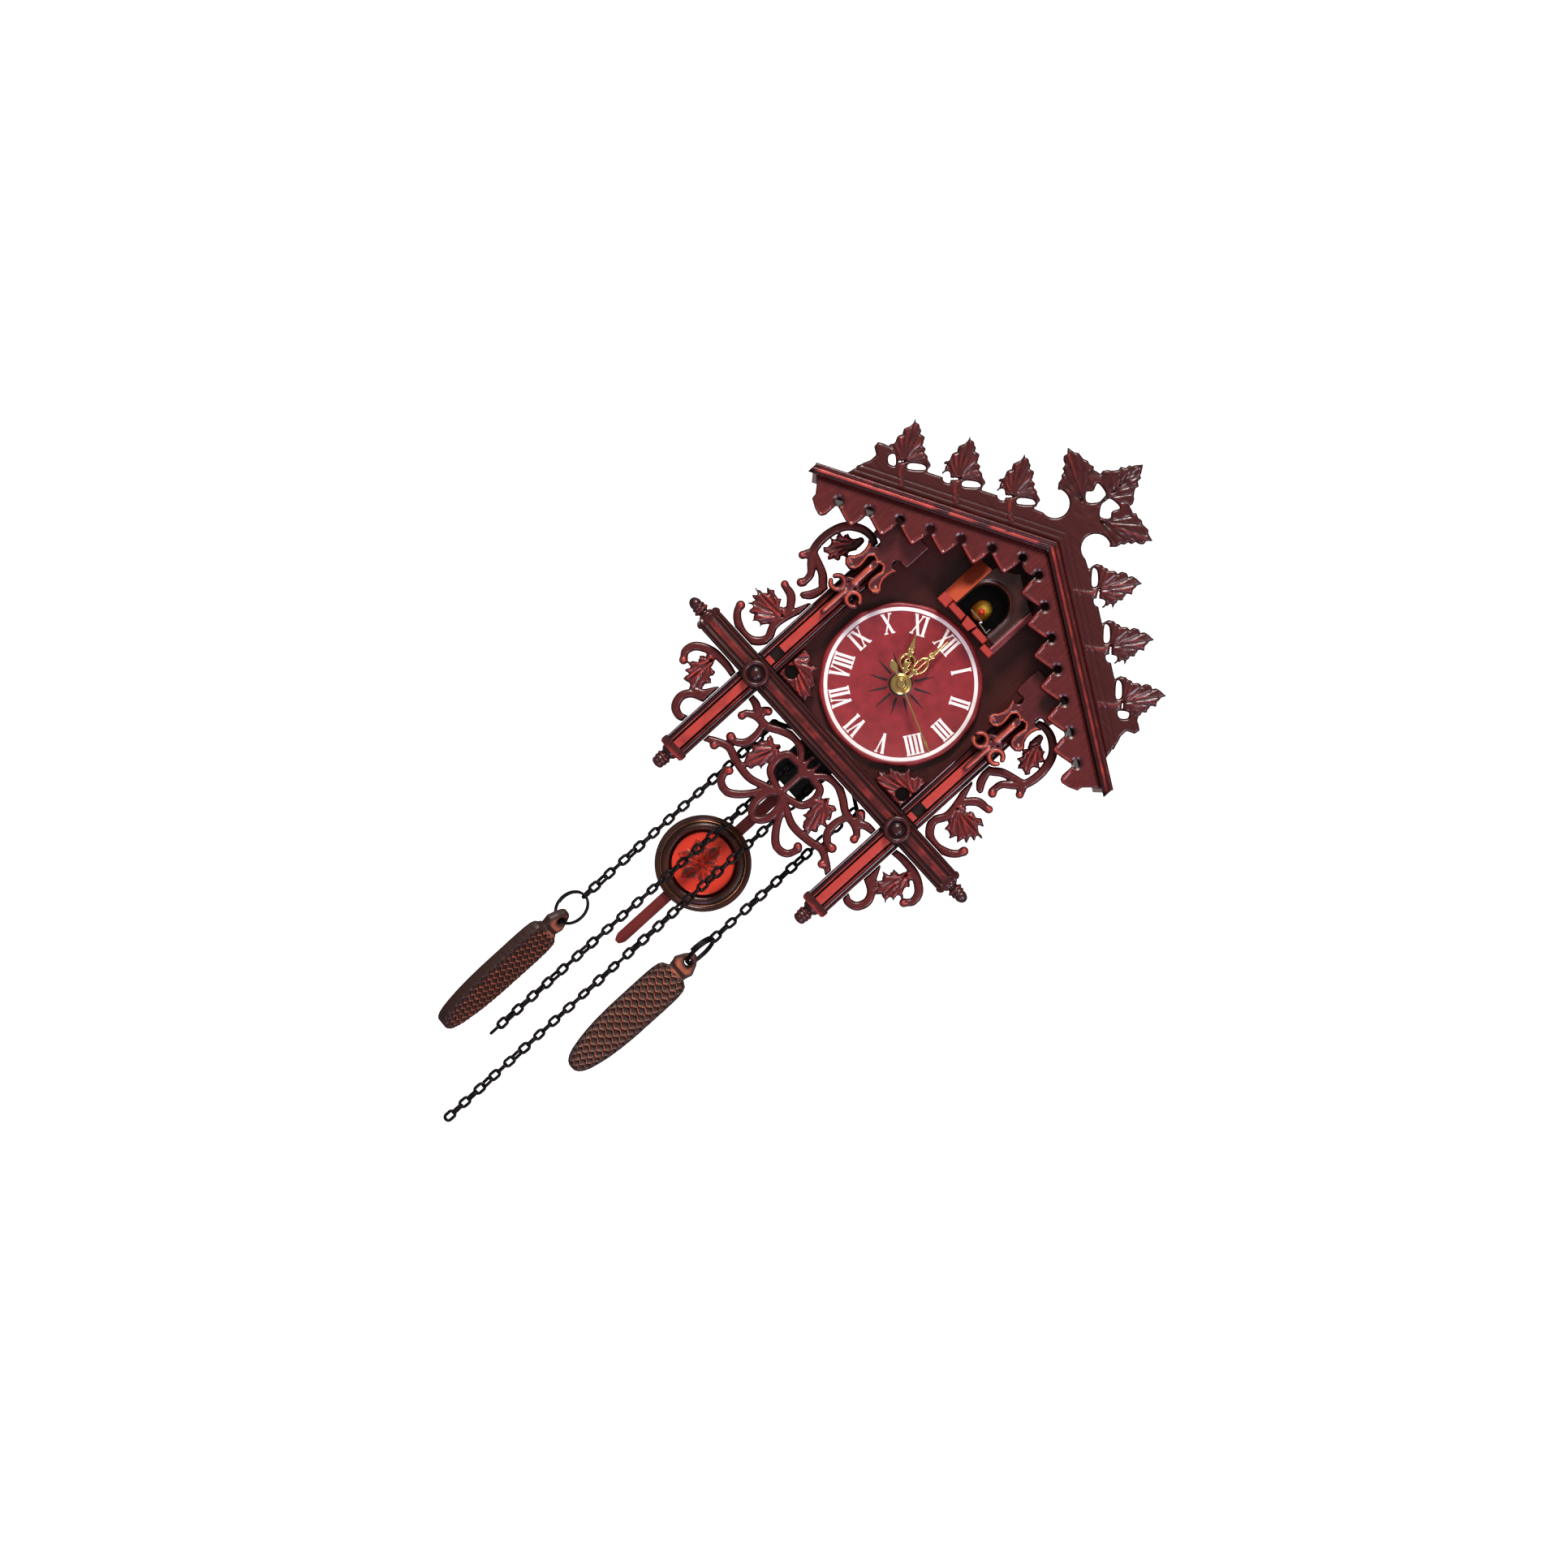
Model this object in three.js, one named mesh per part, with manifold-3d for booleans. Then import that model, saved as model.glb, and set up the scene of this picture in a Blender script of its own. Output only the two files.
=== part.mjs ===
// A wall-hung cuckoo clock with a quartz movement: a gabled wooden case with a carved crest and a scalloped
// fringe, a bird in a niche, a round dial, a ladder of posts and a crossbar with carved vines, a swinging
// pendulum, and two pine-cone weights on dummy chains.
// Millimetres, +Z up, +X to the right as seen from the front, and the front faces -Y. The wall is the plane
// y = 0, and the origin is where the axis of the hands meets it.
import * as THREE from "three";
import { mergeVertices } from "three/addons/utils/BufferGeometryUtils.js";
import Module from "manifold-3d";

const wasm = await Module();
wasm.setup();

// Driving dimensions.
const GAP = 0.3; // between pieces that touch
const CASE = { halfWidth: 60, wall: 5, back: 3, floor: -60, floorTop: -56.3, front: -60 };
const BOARD = { halfWidth: 62, back: -60.3, front: -64 }; // the board behind the dial
const ROOF = { slope: THREE.MathUtils.degToRad(29.5), ridge: 115.8, thickness: 6.2, halfSpan: 122,
  front: -94 };
const BARGE = { back: -94.3, front: -97.3 }; // the moulding on the front edge of the roof
const FRINGE = { back: -89.5, front: -93, firstDrill: [6.5, 96], step: [15.2, -9], drill: 2.3, teeth: 6 };
const CREST = { back: -88, front: -92, firstTip: [48.5, 135.8], step: [27.4, -15.9], leaves: 3,
  seam: 17.6 };
const FRAME = { halfWidth: 22.3, bottom: 45, top: 90, shoulder: 78, back: -64.3, front: -84 };
const ARCH = { halfWidth: 12, sill: 52.2, spring: 64.7 };
const BIRD_BOX = { halfWidth: 15, bottom: 48, top: 80, wall: 1.5, back: -22, front: -59.9 };
const BIRD = { head: [0, -66, 62.2], radius: 5.2, body: [0, -59.5, 60.5], beak: [0.4, -72.9, 60] };
const DIAL = { radius: 46, bore: 4.6, back: -64.3, front: -68.4 };
const HANDS = { hourBack: -70, minuteBack: -71.6, nutBack: -73.2, secondBack: -76.2, thickness: 1 };
const POST = { x: 58.6, width: 15, top: 60, foot: -115.5, tip: -131.5, back: -64.3, front: -77 };
const BAR = { z: -54.6, height: 14.5, halfLength: 97, tip: 113.5, back: -70.5, front: -80 };
const BOSS = { radius: 7.9, nub: 3.9, z: -56, height: 3.7 };
const CORBEL = { back: -77.3, front: -83.3 };
const VINE = { back: -69, front: -74, bar: 3.4 };
const MOVEMENT = { halfWidth: 28, back: -41, front: -57, neck: [-14.6, 11.3], neckFloor: -86,
  neckBack: -38.3, neckFront: -51 };
const PENDULUM = { pivotY: -36, pivot: -78, bob: -149, bobRadius: 27.3, discRadius: 17.6, rodWidth: 6.7,
  rodEnd: -215 };
const CHAIN = { y: -55.6, radius: 2.8, sides: 8, pitch: 14 };
const STRANDS = {
  chain_outer_left: [[-31, -64], [-31, -208.7]],
  chain_inner_left: [[-7, -52], [-8.4, -180], [-9.3, -301]],
  chain_inner_right: [[9, -52], [9.4, -352]],
  chain_outer_right: [[35, -64], [35, -171.8]],
};
const RING = { wire: 0.6, left: { x: -31, z: -219.6, radius: 10, turn: -20 },
  right: { x: 35, z: -182.6, radius: 9.9, turn: 74 } };
const CONE = { height: 94, width: 23, thickness: 8, eye: 6.3, eyeRadius: 1.9, leftTurn: 52 };
const DOOR = { halfWidth: 38, bottom: -42, top: 40, back: 0, front: -2.8 };

const TAN = Math.tan(ROOF.slope);
const COS = Math.cos(ROOF.slope);
const SIN = Math.sin(ROOF.slope);
const ROOF_DROP = 0.4; // clearance between the walls' tops and the underside of the roof

const WOODS = {
  frame: new THREE.MeshStandardMaterial({ color: 0x5a1a10, roughness: 0.38 }),
  board: new THREE.MeshStandardMaterial({ color: 0x2b1610, roughness: 0.45 }),
  carving: new THREE.MeshStandardMaterial({ color: 0x7a2416, roughness: 0.36 }),
  inside: new THREE.MeshStandardMaterial({ color: 0x6b4a30, roughness: 0.7 }),
};
const CRIMSON = new THREE.MeshStandardMaterial({ color: 0x8c1420, roughness: 0.55 });
const GOLD = new THREE.MeshStandardMaterial({ color: 0xd9a23a, roughness: 0.3, metalness: 1 });
const STEEL = new THREE.MeshStandardMaterial({ color: 0xb9bcc0, roughness: 0.3, metalness: 1 });
const BLACK_METAL = new THREE.MeshStandardMaterial({ color: 0x1b1a1a, roughness: 0.4, metalness: 0.8 });
const BLACK_PLASTIC = new THREE.MeshStandardMaterial({ color: 0x141414, roughness: 0.5 });
const YELLOW = new THREE.MeshStandardMaterial({ color: 0xe8b32a, roughness: 0.5 });
const RED = new THREE.MeshStandardMaterial({ color: 0xc22318, roughness: 0.45 });
const ORANGE = new THREE.MeshStandardMaterial({ color: 0xc8401c, roughness: 0.35 });
const CONE_BROWN = new THREE.MeshStandardMaterial({ color: 0x6a2f1c, roughness: 0.5 });

const clock = new THREE.Group();

// ---- Helpers ------------------------------------------------------------------------------------

function add(name, geometry, material) {
  const mesh = new THREE.Mesh(geometry, material);
  mesh.name = name;
  clock.add(mesh);
}

function solidOf(geometry) {
  const bare = geometry.index ? geometry.toNonIndexed() : geometry.clone();
  bare.deleteAttribute("normal");
  bare.deleteAttribute("uv");
  const merged = mergeVertices(bare, 1e-4);
  const vertProperties = merged.attributes.position.array;
  const triVerts = new Uint32Array(merged.index.array);
  return new wasm.Manifold(new wasm.Mesh({ numProp: 3, vertProperties, triVerts }));
}

function geometryOf(solid) {
  const mesh = solid.getMesh();
  const positions = new THREE.BufferAttribute(new Float32Array(mesh.vertProperties), mesh.numProp);
  const geometry = new THREE.BufferGeometry().setAttribute("position", positions);
  geometry.setIndex(new THREE.BufferAttribute(new Uint32Array(mesh.triVerts), 1));
  geometry.computeVertexNormals();
  return geometry;
}

function join(pieces, cuts = []) {
  let solid = solidOf(pieces[0]);
  for (const piece of pieces.slice(1)) solid = solid.add(solidOf(piece));
  for (const cut of cuts) solid = solid.subtract(solidOf(cut));
  return geometryOf(solid);
}

const vectors = (points) => points.map(([x, z]) => new THREE.Vector2(x, z));
const mirrored = (points, side) => points.map(([x, z]) => [x * side, z]);

// A flat board whose outline is drawn in X and Z, between its back and front planes.
function board(outline, back, front, holes = []) {
  const edge = vectors(outline);
  if (THREE.ShapeUtils.isClockWise(edge)) edge.reverse();
  const shape = new THREE.Shape(edge);
  shape.holes = holes.map((hole) => new THREE.Path(vectors(hole)));
  const geometry = new THREE.ExtrudeGeometry(shape, { depth: back - front, bevelEnabled: false });
  return geometry.rotateX(Math.PI / 2).translate(0, back, 0);
}

function box(x0, x1, y0, y1, z0, z1) {
  const geometry = new THREE.BoxGeometry(x1 - x0, y1 - y0, z1 - z0);
  return geometry.translate((x0 + x1) / 2, (y0 + y1) / 2, (z0 + z1) / 2);
}

function arc(x, z, radius, from, to, steps) {
  const points = [];
  for (let i = 0; i <= steps; i += 1) {
    const angle = THREE.MathUtils.degToRad(from + ((to - from) * i) / steps);
    points.push([x + radius * Math.cos(angle), z + radius * Math.sin(angle)]);
  }
  return points;
}

const circle = (x, z, radius, sides = 16) => arc(x, z, radius, 0, 360 - 360 / sides, sides - 1);
const disc = (x, z, radius, back, front, sides) => board(circle(x, z, radius, sides), back, front);

function spline(points, steps, closed = false) {
  const curve = new THREE.CatmullRomCurve3(vectors(points).map((p) => new THREE.Vector3(p.x, p.y, 0)),
    closed);
  return curve.getPoints(steps).slice(0, closed ? steps : steps + 1).map((p) => [p.x, p.y]);
}

// The outline of a carved bar that follows a curve, thick in its middle and thinner at its ends.
function ribbon(points, width, steps = Math.round(points.length * 1.5), taper = 0.75) {
  const centre = spline(points, steps);
  const left = [];
  const right = [];
  centre.forEach(([x, z], i) => {
    const [ax, az] = centre[Math.max(0, i - 1)];
    const [bx, bz] = centre[Math.min(steps, i + 1)];
    const length = Math.hypot(bx - ax, bz - az);
    const half = (width / 2) * (taper + (1 - taper) * Math.sin((Math.PI * i) / steps));
    left.push([x - ((bz - az) / length) * half, z + ((bx - ax) / length) * half]);
    right.push([x + ((bz - az) / length) * half, z - ((bx - ax) / length) * half]);
  });
  return left.concat(right.reverse());
}

// A piece turned on a lathe: the profile's second number is the height along the axis.
function turned(profile, sides) {
  return new THREE.LatheGeometry(profile.map(([r, h]) => new THREE.Vector2(r, h)), sides);
}
const facingFront = (geometry, x, y, z) => geometry.rotateX(Math.PI).translate(x, y, z);

// The height of the roof's top at x, or of a line so far above it, square to the slope.
const roofLine = (x, above = 0) => ROOF.ridge - Math.abs(x) * TAN + above / COS;
const wallTop = (x) => roofLine(x, -ROOF.thickness) - ROOF_DROP;
const sides = { left: -1, right: 1 };

// ---- Case ---------------------------------------------------------------------------------------

function gable(halfWidth, bottom) {
  const eave = wallTop(halfWidth);
  return [[-halfWidth, bottom], [halfWidth, bottom], [halfWidth, eave], [0, wallTop(0)],
    [-halfWidth, eave]];
}

function archOutline(grow = 0) {
  const half = ARCH.halfWidth + grow;
  return [[-half, ARCH.sill - grow], [half, ARCH.sill - grow], ...arc(0, ARCH.spring, half, 0, 180, 10)];
}

function addCase() {
  const access = mirrored([[-1, DOOR.bottom], [1, DOOR.bottom], [1, DOOR.top], [-1, DOOR.top]],
    DOOR.halfWidth);
  const keyhole = circle(0, 88, 4.5, 12);
  add("back_panel", board(gable(CASE.halfWidth, CASE.floor), 0, -CASE.back, [access, keyhole]),
    WOODS.inside);
  const inner = CASE.halfWidth - CASE.wall;
  for (const [name, side] of Object.entries(sides)) {
    const outline = [[inner, CASE.floorTop + GAP], [CASE.halfWidth, CASE.floorTop + GAP]];
    outline.push([CASE.halfWidth, wallTop(CASE.halfWidth)], [inner, wallTop(inner)]);
    add(`side_${name}`, board(mirrored(outline, side), -CASE.back - GAP, CASE.front), WOODS.board);
  }
  const slots = ["chain_inner_left", "chain_inner_right"].map((name) => {
    const x = STRANDS[name][0][0];
    return box(x - 4, x + 4, CHAIN.y - 3.2, CHAIN.y + 4.4, CASE.floor - 1, CASE.floorTop + 1);
  });
  const neck = MOVEMENT.neck;
  slots.push(box(neck[0] - 1, neck[1] + 1, MOVEMENT.neckFront - 1, MOVEMENT.neckBack + 1, CASE.floor - 1,
    CASE.floorTop + 1));
  const floor = box(-CASE.halfWidth, CASE.halfWidth, CASE.front, -CASE.back - GAP, CASE.floor,
    CASE.floorTop);
  add("floor_board", join([floor], slots), WOODS.board);
  const holes = [circle(0, 0, DIAL.bore, 12), archOutline()];
  add("front_board", board(gable(BOARD.halfWidth, CASE.floor), BOARD.back, BOARD.front, holes),
    WOODS.board);
  const half = DOOR.halfWidth - GAP;
  add("rear_door", box(-half, half, DOOR.front, DOOR.back, DOOR.bottom + GAP, DOOR.top - GAP),
    WOODS.inside);
  const plateHole = circle(0, 86.5, 3, 10);
  const hanger = board([[-11, 81], [11, 81], [11, 97], [-11, 97]], -CASE.back - GAP, -CASE.back - 1.5,
    [plateHole]);
  add("hanger_plate", hanger, STEEL);
}

// ---- Roof, barge boards, fringe and crest -------------------------------------------------------

function addRoof() {
  const seam = GAP / 2;
  for (const [name, side] of Object.entries(sides)) {
    const end = ROOF.halfSpan;
    const under = -ROOF.thickness;
    const low = [end + under * SIN, roofLine(end) + under * COS];
    const plank = [[seam, roofLine(seam)], [end, roofLine(end)], low, [seam, roofLine(seam, under)]];
    add(`roof_${name}`, board(mirrored(plank, side), 0, ROOF.front), WOODS.frame);
    add(`barge_${name}`, board(mirrored(plank, side), BARGE.back, BARGE.front), WOODS.carving);
    add(`fringe_${name}`, board(mirrored(fringeOutline(seam), side), FRINGE.back, FRINGE.front),
      WOODS.carving);
  }
}

// One half of the fringe: a keyhole drill between each two teeth, and each tooth hangs outside its drill.
function fringeOutline(seam) {
  const under = -ROOF.thickness - GAP;
  const outline = [[seam, roofLine(seam, under)], [seam, 93]];
  for (let i = 0; i <= FRINGE.teeth; i += 1) {
    const x = FRINGE.firstDrill[0] + i * FRINGE.step[0];
    const z = FRINGE.firstDrill[1] + i * FRINGE.step[1];
    outline.push(...arc(x, z, FRINGE.drill, 230, -80, 7));
    outline.push([x - 0.9, z - 6.3], [x, z - 12.6]);
    if (i < FRINGE.teeth) outline.push([x + 2.4, z - 14.2], [x + 8, z - 12.8], [x + 13.4, z - 11.4]);
  }
  outline.push([100, 28.5], [104, 29.5], [109, 32], [109.5, 35], [113, 39], [115, roofLine(115, under)]);
  return outline;
}

// One carved leaf of the crest, measured from its tip: up its outer side, over the tip and in along its back.
const LEAF = [[0.6, -22.5], [-2.9, -20], [-1.6, -13.3], [0.4, -8.7], [0, 0], [-6.6, -1.4], [-12.6, -4],
  [-17.9, -8.7], [-25, -11.5]];
const CURL = [[106.9, 60.5], [102.3, 68.7], [102.9, 74.3], [107.1, 76.6], [107.6, 79.9], [104.8, 81.7]];

function addCrest() {
  const foot = GAP / COS + 0.1;
  for (const [name, side] of Object.entries(sides)) {
    const outline = [[CREST.seam, roofLine(CREST.seam, foot)], [106.2, roofLine(106.2, foot)], ...CURL];
    const holes = [];
    for (let i = CREST.leaves - 1; i >= 0; i -= 1) {
      const x = CREST.firstTip[0] + i * CREST.step[0];
      const z = CREST.firstTip[1] + i * CREST.step[1];
      outline.push(...LEAF.slice(i === CREST.leaves - 1 ? 1 : 0).map(([dx, dz]) => [x + dx, z + dz]));
      holes.push(arc(x - 8.6, z - 24.9, 3, 0, 330, 9));
      holes.push([[x - 18, z - 21.6], [x - 24.4, z - 15.4], [x - 22, z - 14.8], [x - 16.6, z - 19]]);
    }
    outline.push([18.6, 122.5], [CREST.seam, 121.5]);
    const flipped = holes.map((hole) => mirrored(hole, side));
    add(`crest_${name}`, board(mirrored(outline, side), CREST.back, CREST.front, flipped), WOODS.carving);
  }
  const right = [[3, 176], [5, 174], [5, 171], [7.5, 170], [7.5, 166.5], [9.5, 164.5], [12.5, 161],
    [12.2, 159.2]];
  right.push([16.1, 157.8], [22.2, 158.8], [28.7, 158], [35, 155.5], [31.5, 148.5], [26.4, 145],
    [24.5, 141.5], [21.3, 135.6]);
  right.push(...arc(17, 129.5, 8, 75, 270, 6), [CREST.seam - GAP, 120.6],
    [CREST.seam - GAP, roofLine(CREST.seam, foot)]);
  const left = mirrored(right, -1).reverse();
  const eye = [[9, 154.5], [2, 154], [1, 151], [1.2, 148], [5.5, 143], [9.8, 146.5], [7.5, 149.5]];
  const outline = [[0, 180], ...right, [0, roofLine(0, foot)], ...left];
  add("crest_top", board(outline, CREST.back, CREST.front, [eye, mirrored(eye, -1)]), WOODS.carving);
}

// ---- Door frame and bird ------------------------------------------------------------------------

function addBird() {
  const half = FRAME.halfWidth;
  const outline = [[-half, FRAME.bottom], [-6, FRAME.bottom], [-4, FRAME.bottom - 2], [4, FRAME.bottom - 2],
    [6, FRAME.bottom]];
  outline.push([half, FRAME.bottom], [half, FRAME.shoulder], [14, FRAME.top], [-14, FRAME.top],
    [-half, FRAME.shoulder]);
  const dialClearance = disc(0, 0, DIAL.radius + GAP, FRAME.back + 1, DIAL.front - GAP, 48);
  const frame = board(outline, FRAME.back, FRAME.front, [archOutline()]);
  add("door_frame", join([frame], [dialClearance]), WOODS.frame);
  const b = BIRD_BOX;
  const shell = box(-b.halfWidth, b.halfWidth, b.front, b.back, b.bottom, b.top);
  const inner = b.halfWidth - b.wall;
  const hollow = box(-inner, inner, b.front - 1, b.back - b.wall, b.bottom + b.wall, b.top - b.wall);
  add("bird_box", join([shell], [hollow]), BLACK_PLASTIC);
  const head = new THREE.SphereGeometry(BIRD.radius, 14, 10).translate(...BIRD.head);
  const body = new THREE.SphereGeometry(BIRD.radius, 12, 8).scale(0.95, 1.9, 0.85).translate(...BIRD.body);
  const slide = box(-2, 2, -56, -26, 53.8, 57.5);
  add("bird_body", join([head, body, slide]), YELLOW);
  const profile = [[0, -1.2], [1.9, -0.9], [1.9, 0.8], [1.1, 1.9], [0, 2.2]];
  add("bird_beak", facingFront(turned(profile, 10), ...BIRD.beak), RED);
  const route = [[-5, 56.4], [2.9, 56.2], [9.5, 53.6], [11, 55.4],
    [9.4, 56.9]].map(([x, z]) => new THREE.Vector3(x, -75.2, z));
  add("perch_wire", tube(new THREE.CatmullRomCurve3(route), 0.45, 6, 16), STEEL);
}

// A round bar along a curve, with closed ends.
function tube(curve, radius, facets, steps) {
  const section = new THREE.Shape(vectors(circle(0, 0, radius, facets)));
  return new THREE.ExtrudeGeometry(section, { steps, extrudePath: curve, bevelEnabled: false });
}

// ---- Dial and hands -----------------------------------------------------------------------------

function addDial() {
  const rim = circle(0, 0, DIAL.radius, 48);
  add("dial_plate", board(rim, DIAL.back, DIAL.front, [circle(0, 0, DIAL.bore, 12)]), CRIMSON);
  const t = HANDS.thickness;
  const hourRing = (side) => [disc(side * 2.6, 13.5, 3.2, HANDS.hourBack, HANDS.hourBack - t, 12)];
  const hourCuts = [-1, 1].map((side) => disc(side * 2.7, 13.5, 1.6, HANDS.hourBack + 1, HANDS.hourBack - 3,
    10));
  const blade = (points, back) => board(points, back, back - t);
  const hourBlade = blade([[-1.2, 0], [1.2, 0], [1, 10], [2, 17.5], [1.2, 24], [0, 29], [-1.2, 24],
    [-2, 17.5], [-1, 10]], HANDS.hourBack);
  const hourHub = disc(0, 0, 5.2, HANDS.hourBack, HANDS.hourBack - t, 16);
  const hourHand = join([hourHub, hourBlade, ...hourRing(-1), ...hourRing(1)], hourCuts);
  add("hour_hand", hourHand.rotateY(THREE.MathUtils.degToRad(-31)), GOLD);
  const m = HANDS.minuteBack;
  const minuteBlade = blade([[-1.1, 0], [1.1, 0], [0.9, 10], [1.2, 26], [0, 39], [-1.2, 26], [-0.9, 10]],
    m);
  const loops = [-1, 1].map((side) => disc(side * 2.3, 15, 2.8, m, m - t, 12));
  const loopCuts = [-1, 1].map((side) => disc(side * 2.6, 15, 1.3, m + 1, m - 3, 8));
  const knot = disc(0, 22, 2.4, m, m - t, 12);
  add("minute_hand", join([disc(0, 0, 5, m, m - t, 16), minuteBlade, ...loops, knot], loopCuts), GOLD);
  const nut = [[0, 0], [5.9, 0], [5.9, 2], [5, 2.6], [0, 2.6]];
  add("hand_nut", facingFront(turned(nut, 12), 0, HANDS.nutBack, 0), GOLD);
  const s = HANDS.secondBack;
  const thin = 0.7;
  const needle = board([[-0.6, -9], [0.6, -9], [0.35, 41], [-0.35, 41]], s, s - thin);
  const arrow = board([[-2, 33], [2, 33], [0, 38]], s, s - thin);
  const drop = disc(0, -11.5, 3.4, s, s - thin, 12);
  const second = join([disc(0, 0, 2.6, s, s - thin, 12), needle, arrow, drop]);
  add("second_hand", second.rotateY(THREE.MathUtils.degToRad(110)), GOLD);
}

// ---- Posts, crossbar, bosses, corbels -----------------------------------------------------------

function addLadder() {
  const half = POST.width / 2;
  const middle = (POST.back + POST.front) / 2;
  const lap = [BAR.z - BAR.height / 2 - GAP, BAR.z + BAR.height / 2 + GAP];
  for (const [name, side] of Object.entries(sides)) {
    const x = side * POST.x;
    const shaft = box(x - half, x + half, POST.front, POST.back, POST.foot, POST.top);
    const collar = box(x - half - 1, x + half + 1, POST.front, POST.back, POST.foot - 4.5, POST.foot + 0.5);
    const profile = [[0, 0], [2.2, 0.6], [3.6, 2.4], [3.9, 4.2], [3, 5.6], [3.6, 7], [3.5, 9], [5.4, 11],
      [5.8, 12.6], [0, 12.6]];
    const foot = turned(profile, 12).rotateX(Math.PI / 2).translate(x, middle, POST.tip);
    const notch = box(x - half - 1, x + half + 1, POST.front - 1, BAR.back + GAP, lap[0], lap[1]);
    add(`post_${name}`, join([shaft, collar, foot], [notch]), WOODS.frame);
    const bossProfile = [[0, 0], [BOSS.radius, 0], [BOSS.radius, 2.2], [BOSS.radius - 1.6, BOSS.height]];
    bossProfile.push([BOSS.nub + 0.8, 2], [BOSS.nub - 0.6, BOSS.height - 0.6], [0, BOSS.height]);
    add(`boss_${name}`, facingFront(turned(bossProfile, 16), side * 58.3, BAR.front - GAP, BOSS.z),
      WOODS.carving);
    addCorbel(name, side);
  }
  const bar = box(-BAR.halfLength, BAR.halfLength, BAR.front, BAR.back, BAR.z - BAR.height / 2,
    BAR.z + BAR.height / 2);
  const length = BAR.tip - BAR.halfLength;
  const profile = [[0, -1], [4.6, -1], [4.7, 2.6], [4, 4], [3.3, 5.4], [3.9, 7.4], [4.1, 9.6], [3.4, 12],
    [2.4, 14.5], [0, length]];
  const ends = [-1, 1].map((side) => {
    const knob = turned(profile, 12).rotateZ((-Math.PI / 2) * side);
    return knob.translate(side * BAR.halfLength, (BAR.back + BAR.front) / 2, BAR.z);
  });
  const flares = [-1, 1].map((side) => {
    const x = side * (BAR.halfLength + 0.5);
    return box(x - 2, x + 2, BAR.front, BAR.back, BAR.z - BAR.height / 2 - 0.9,
      BAR.z + BAR.height / 2 + 0.6);
  });
  add("crossbar", join([bar, ...flares, ...ends]), WOODS.frame);
}

// A carved bracket: a plate that narrows to two scrolls, a heart-shaped notch, two volutes and a tongue.
function addCorbel(name, side) {
  const { back, front } = CORBEL;
  const half = [[0, 62], [12, 62], [13.6, 48], [11.4, 44.4], ...arc(9.2, 42, 2.6, 60, 270, 5), [10.6, 38],
    [6.8, 31.5], [9, 28.5]];
  half.push(...arc(8.6, 24.9, 3, 75, -120, 6), [4.4, 27], [3.4, 22], [1.9, 16], [0, 15.5]);
  const plate = half.concat(mirrored(half.slice(1, -1), -1).reverse());
  const pieces = [board(plate, back, front)];
  const stem = board([[-1.8, 18], [-1.6, -4], [0, -6.2], [1.6, -4], [1.8, 18]], back, front);
  const volutes = [-1, 1].map((turn) => {
    const ring = [[turn * 1.2, 18.4], ...arc(turn * 6.9, 11.5, 4.3, turn > 0 ? 120 : 60,
      turn > 0 ? -110 : 290, 8)];
    return board(ribbon(ring, 2.6, 18), back, front);
  });
  const joinBar = board([[-6.5, 13], [6.5, 13], [6.5, 10], [-6.5, 10]].map(([x, z]) => [x, z + 6]), back,
    front);
  const cuts = [-1, 1].map((turn) => disc(turn * 3, 32.7, 2.2, back + 1, front - 1, 10));
  const corbel = join([...pieces, stem, ...volutes, joinBar], cuts);
  add(`corbel_${name}`, corbel.translate(side * 58.9, 0, 0), WOODS.carving);
}

// ---- Carved vines and scroll --------------------------------------------------------------------

// Openwork is listed as bars along curves, leaves and round balls, all at the vine boards' thickness.
function openwork({ bars = [], leaves = [], balls = [], cuts = [] }, side = 1) {
  const { back, front, bar } = VINE;
  const pieces = bars.map((points) => board(ribbon(mirrored(points, side), bar), back, front));
  pieces.push(...leaves.map((points) => board(mirrored(points, side), back, front)));
  pieces.push(...balls.map(([x, z, radius]) => disc(x * side, z, radius, back, front, 10)));
  const holes = cuts.map(([x, z, radius]) => disc(x * side, z, radius, back + 1, front - 1, 10));
  const reach = POST.width / 2 + GAP;
  for (const x of [-POST.x, POST.x]) holes.push(box(x - reach, x + reach, front - 1, back + 1, -130,
    POST.top));
  const high = BAR.height / 2 + GAP;
  holes.push(box(-BAR.halfLength, BAR.halfLength, front - 1, back + 1, BAR.z - high, BAR.z + high));
  return join(pieces, holes);
}

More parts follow.
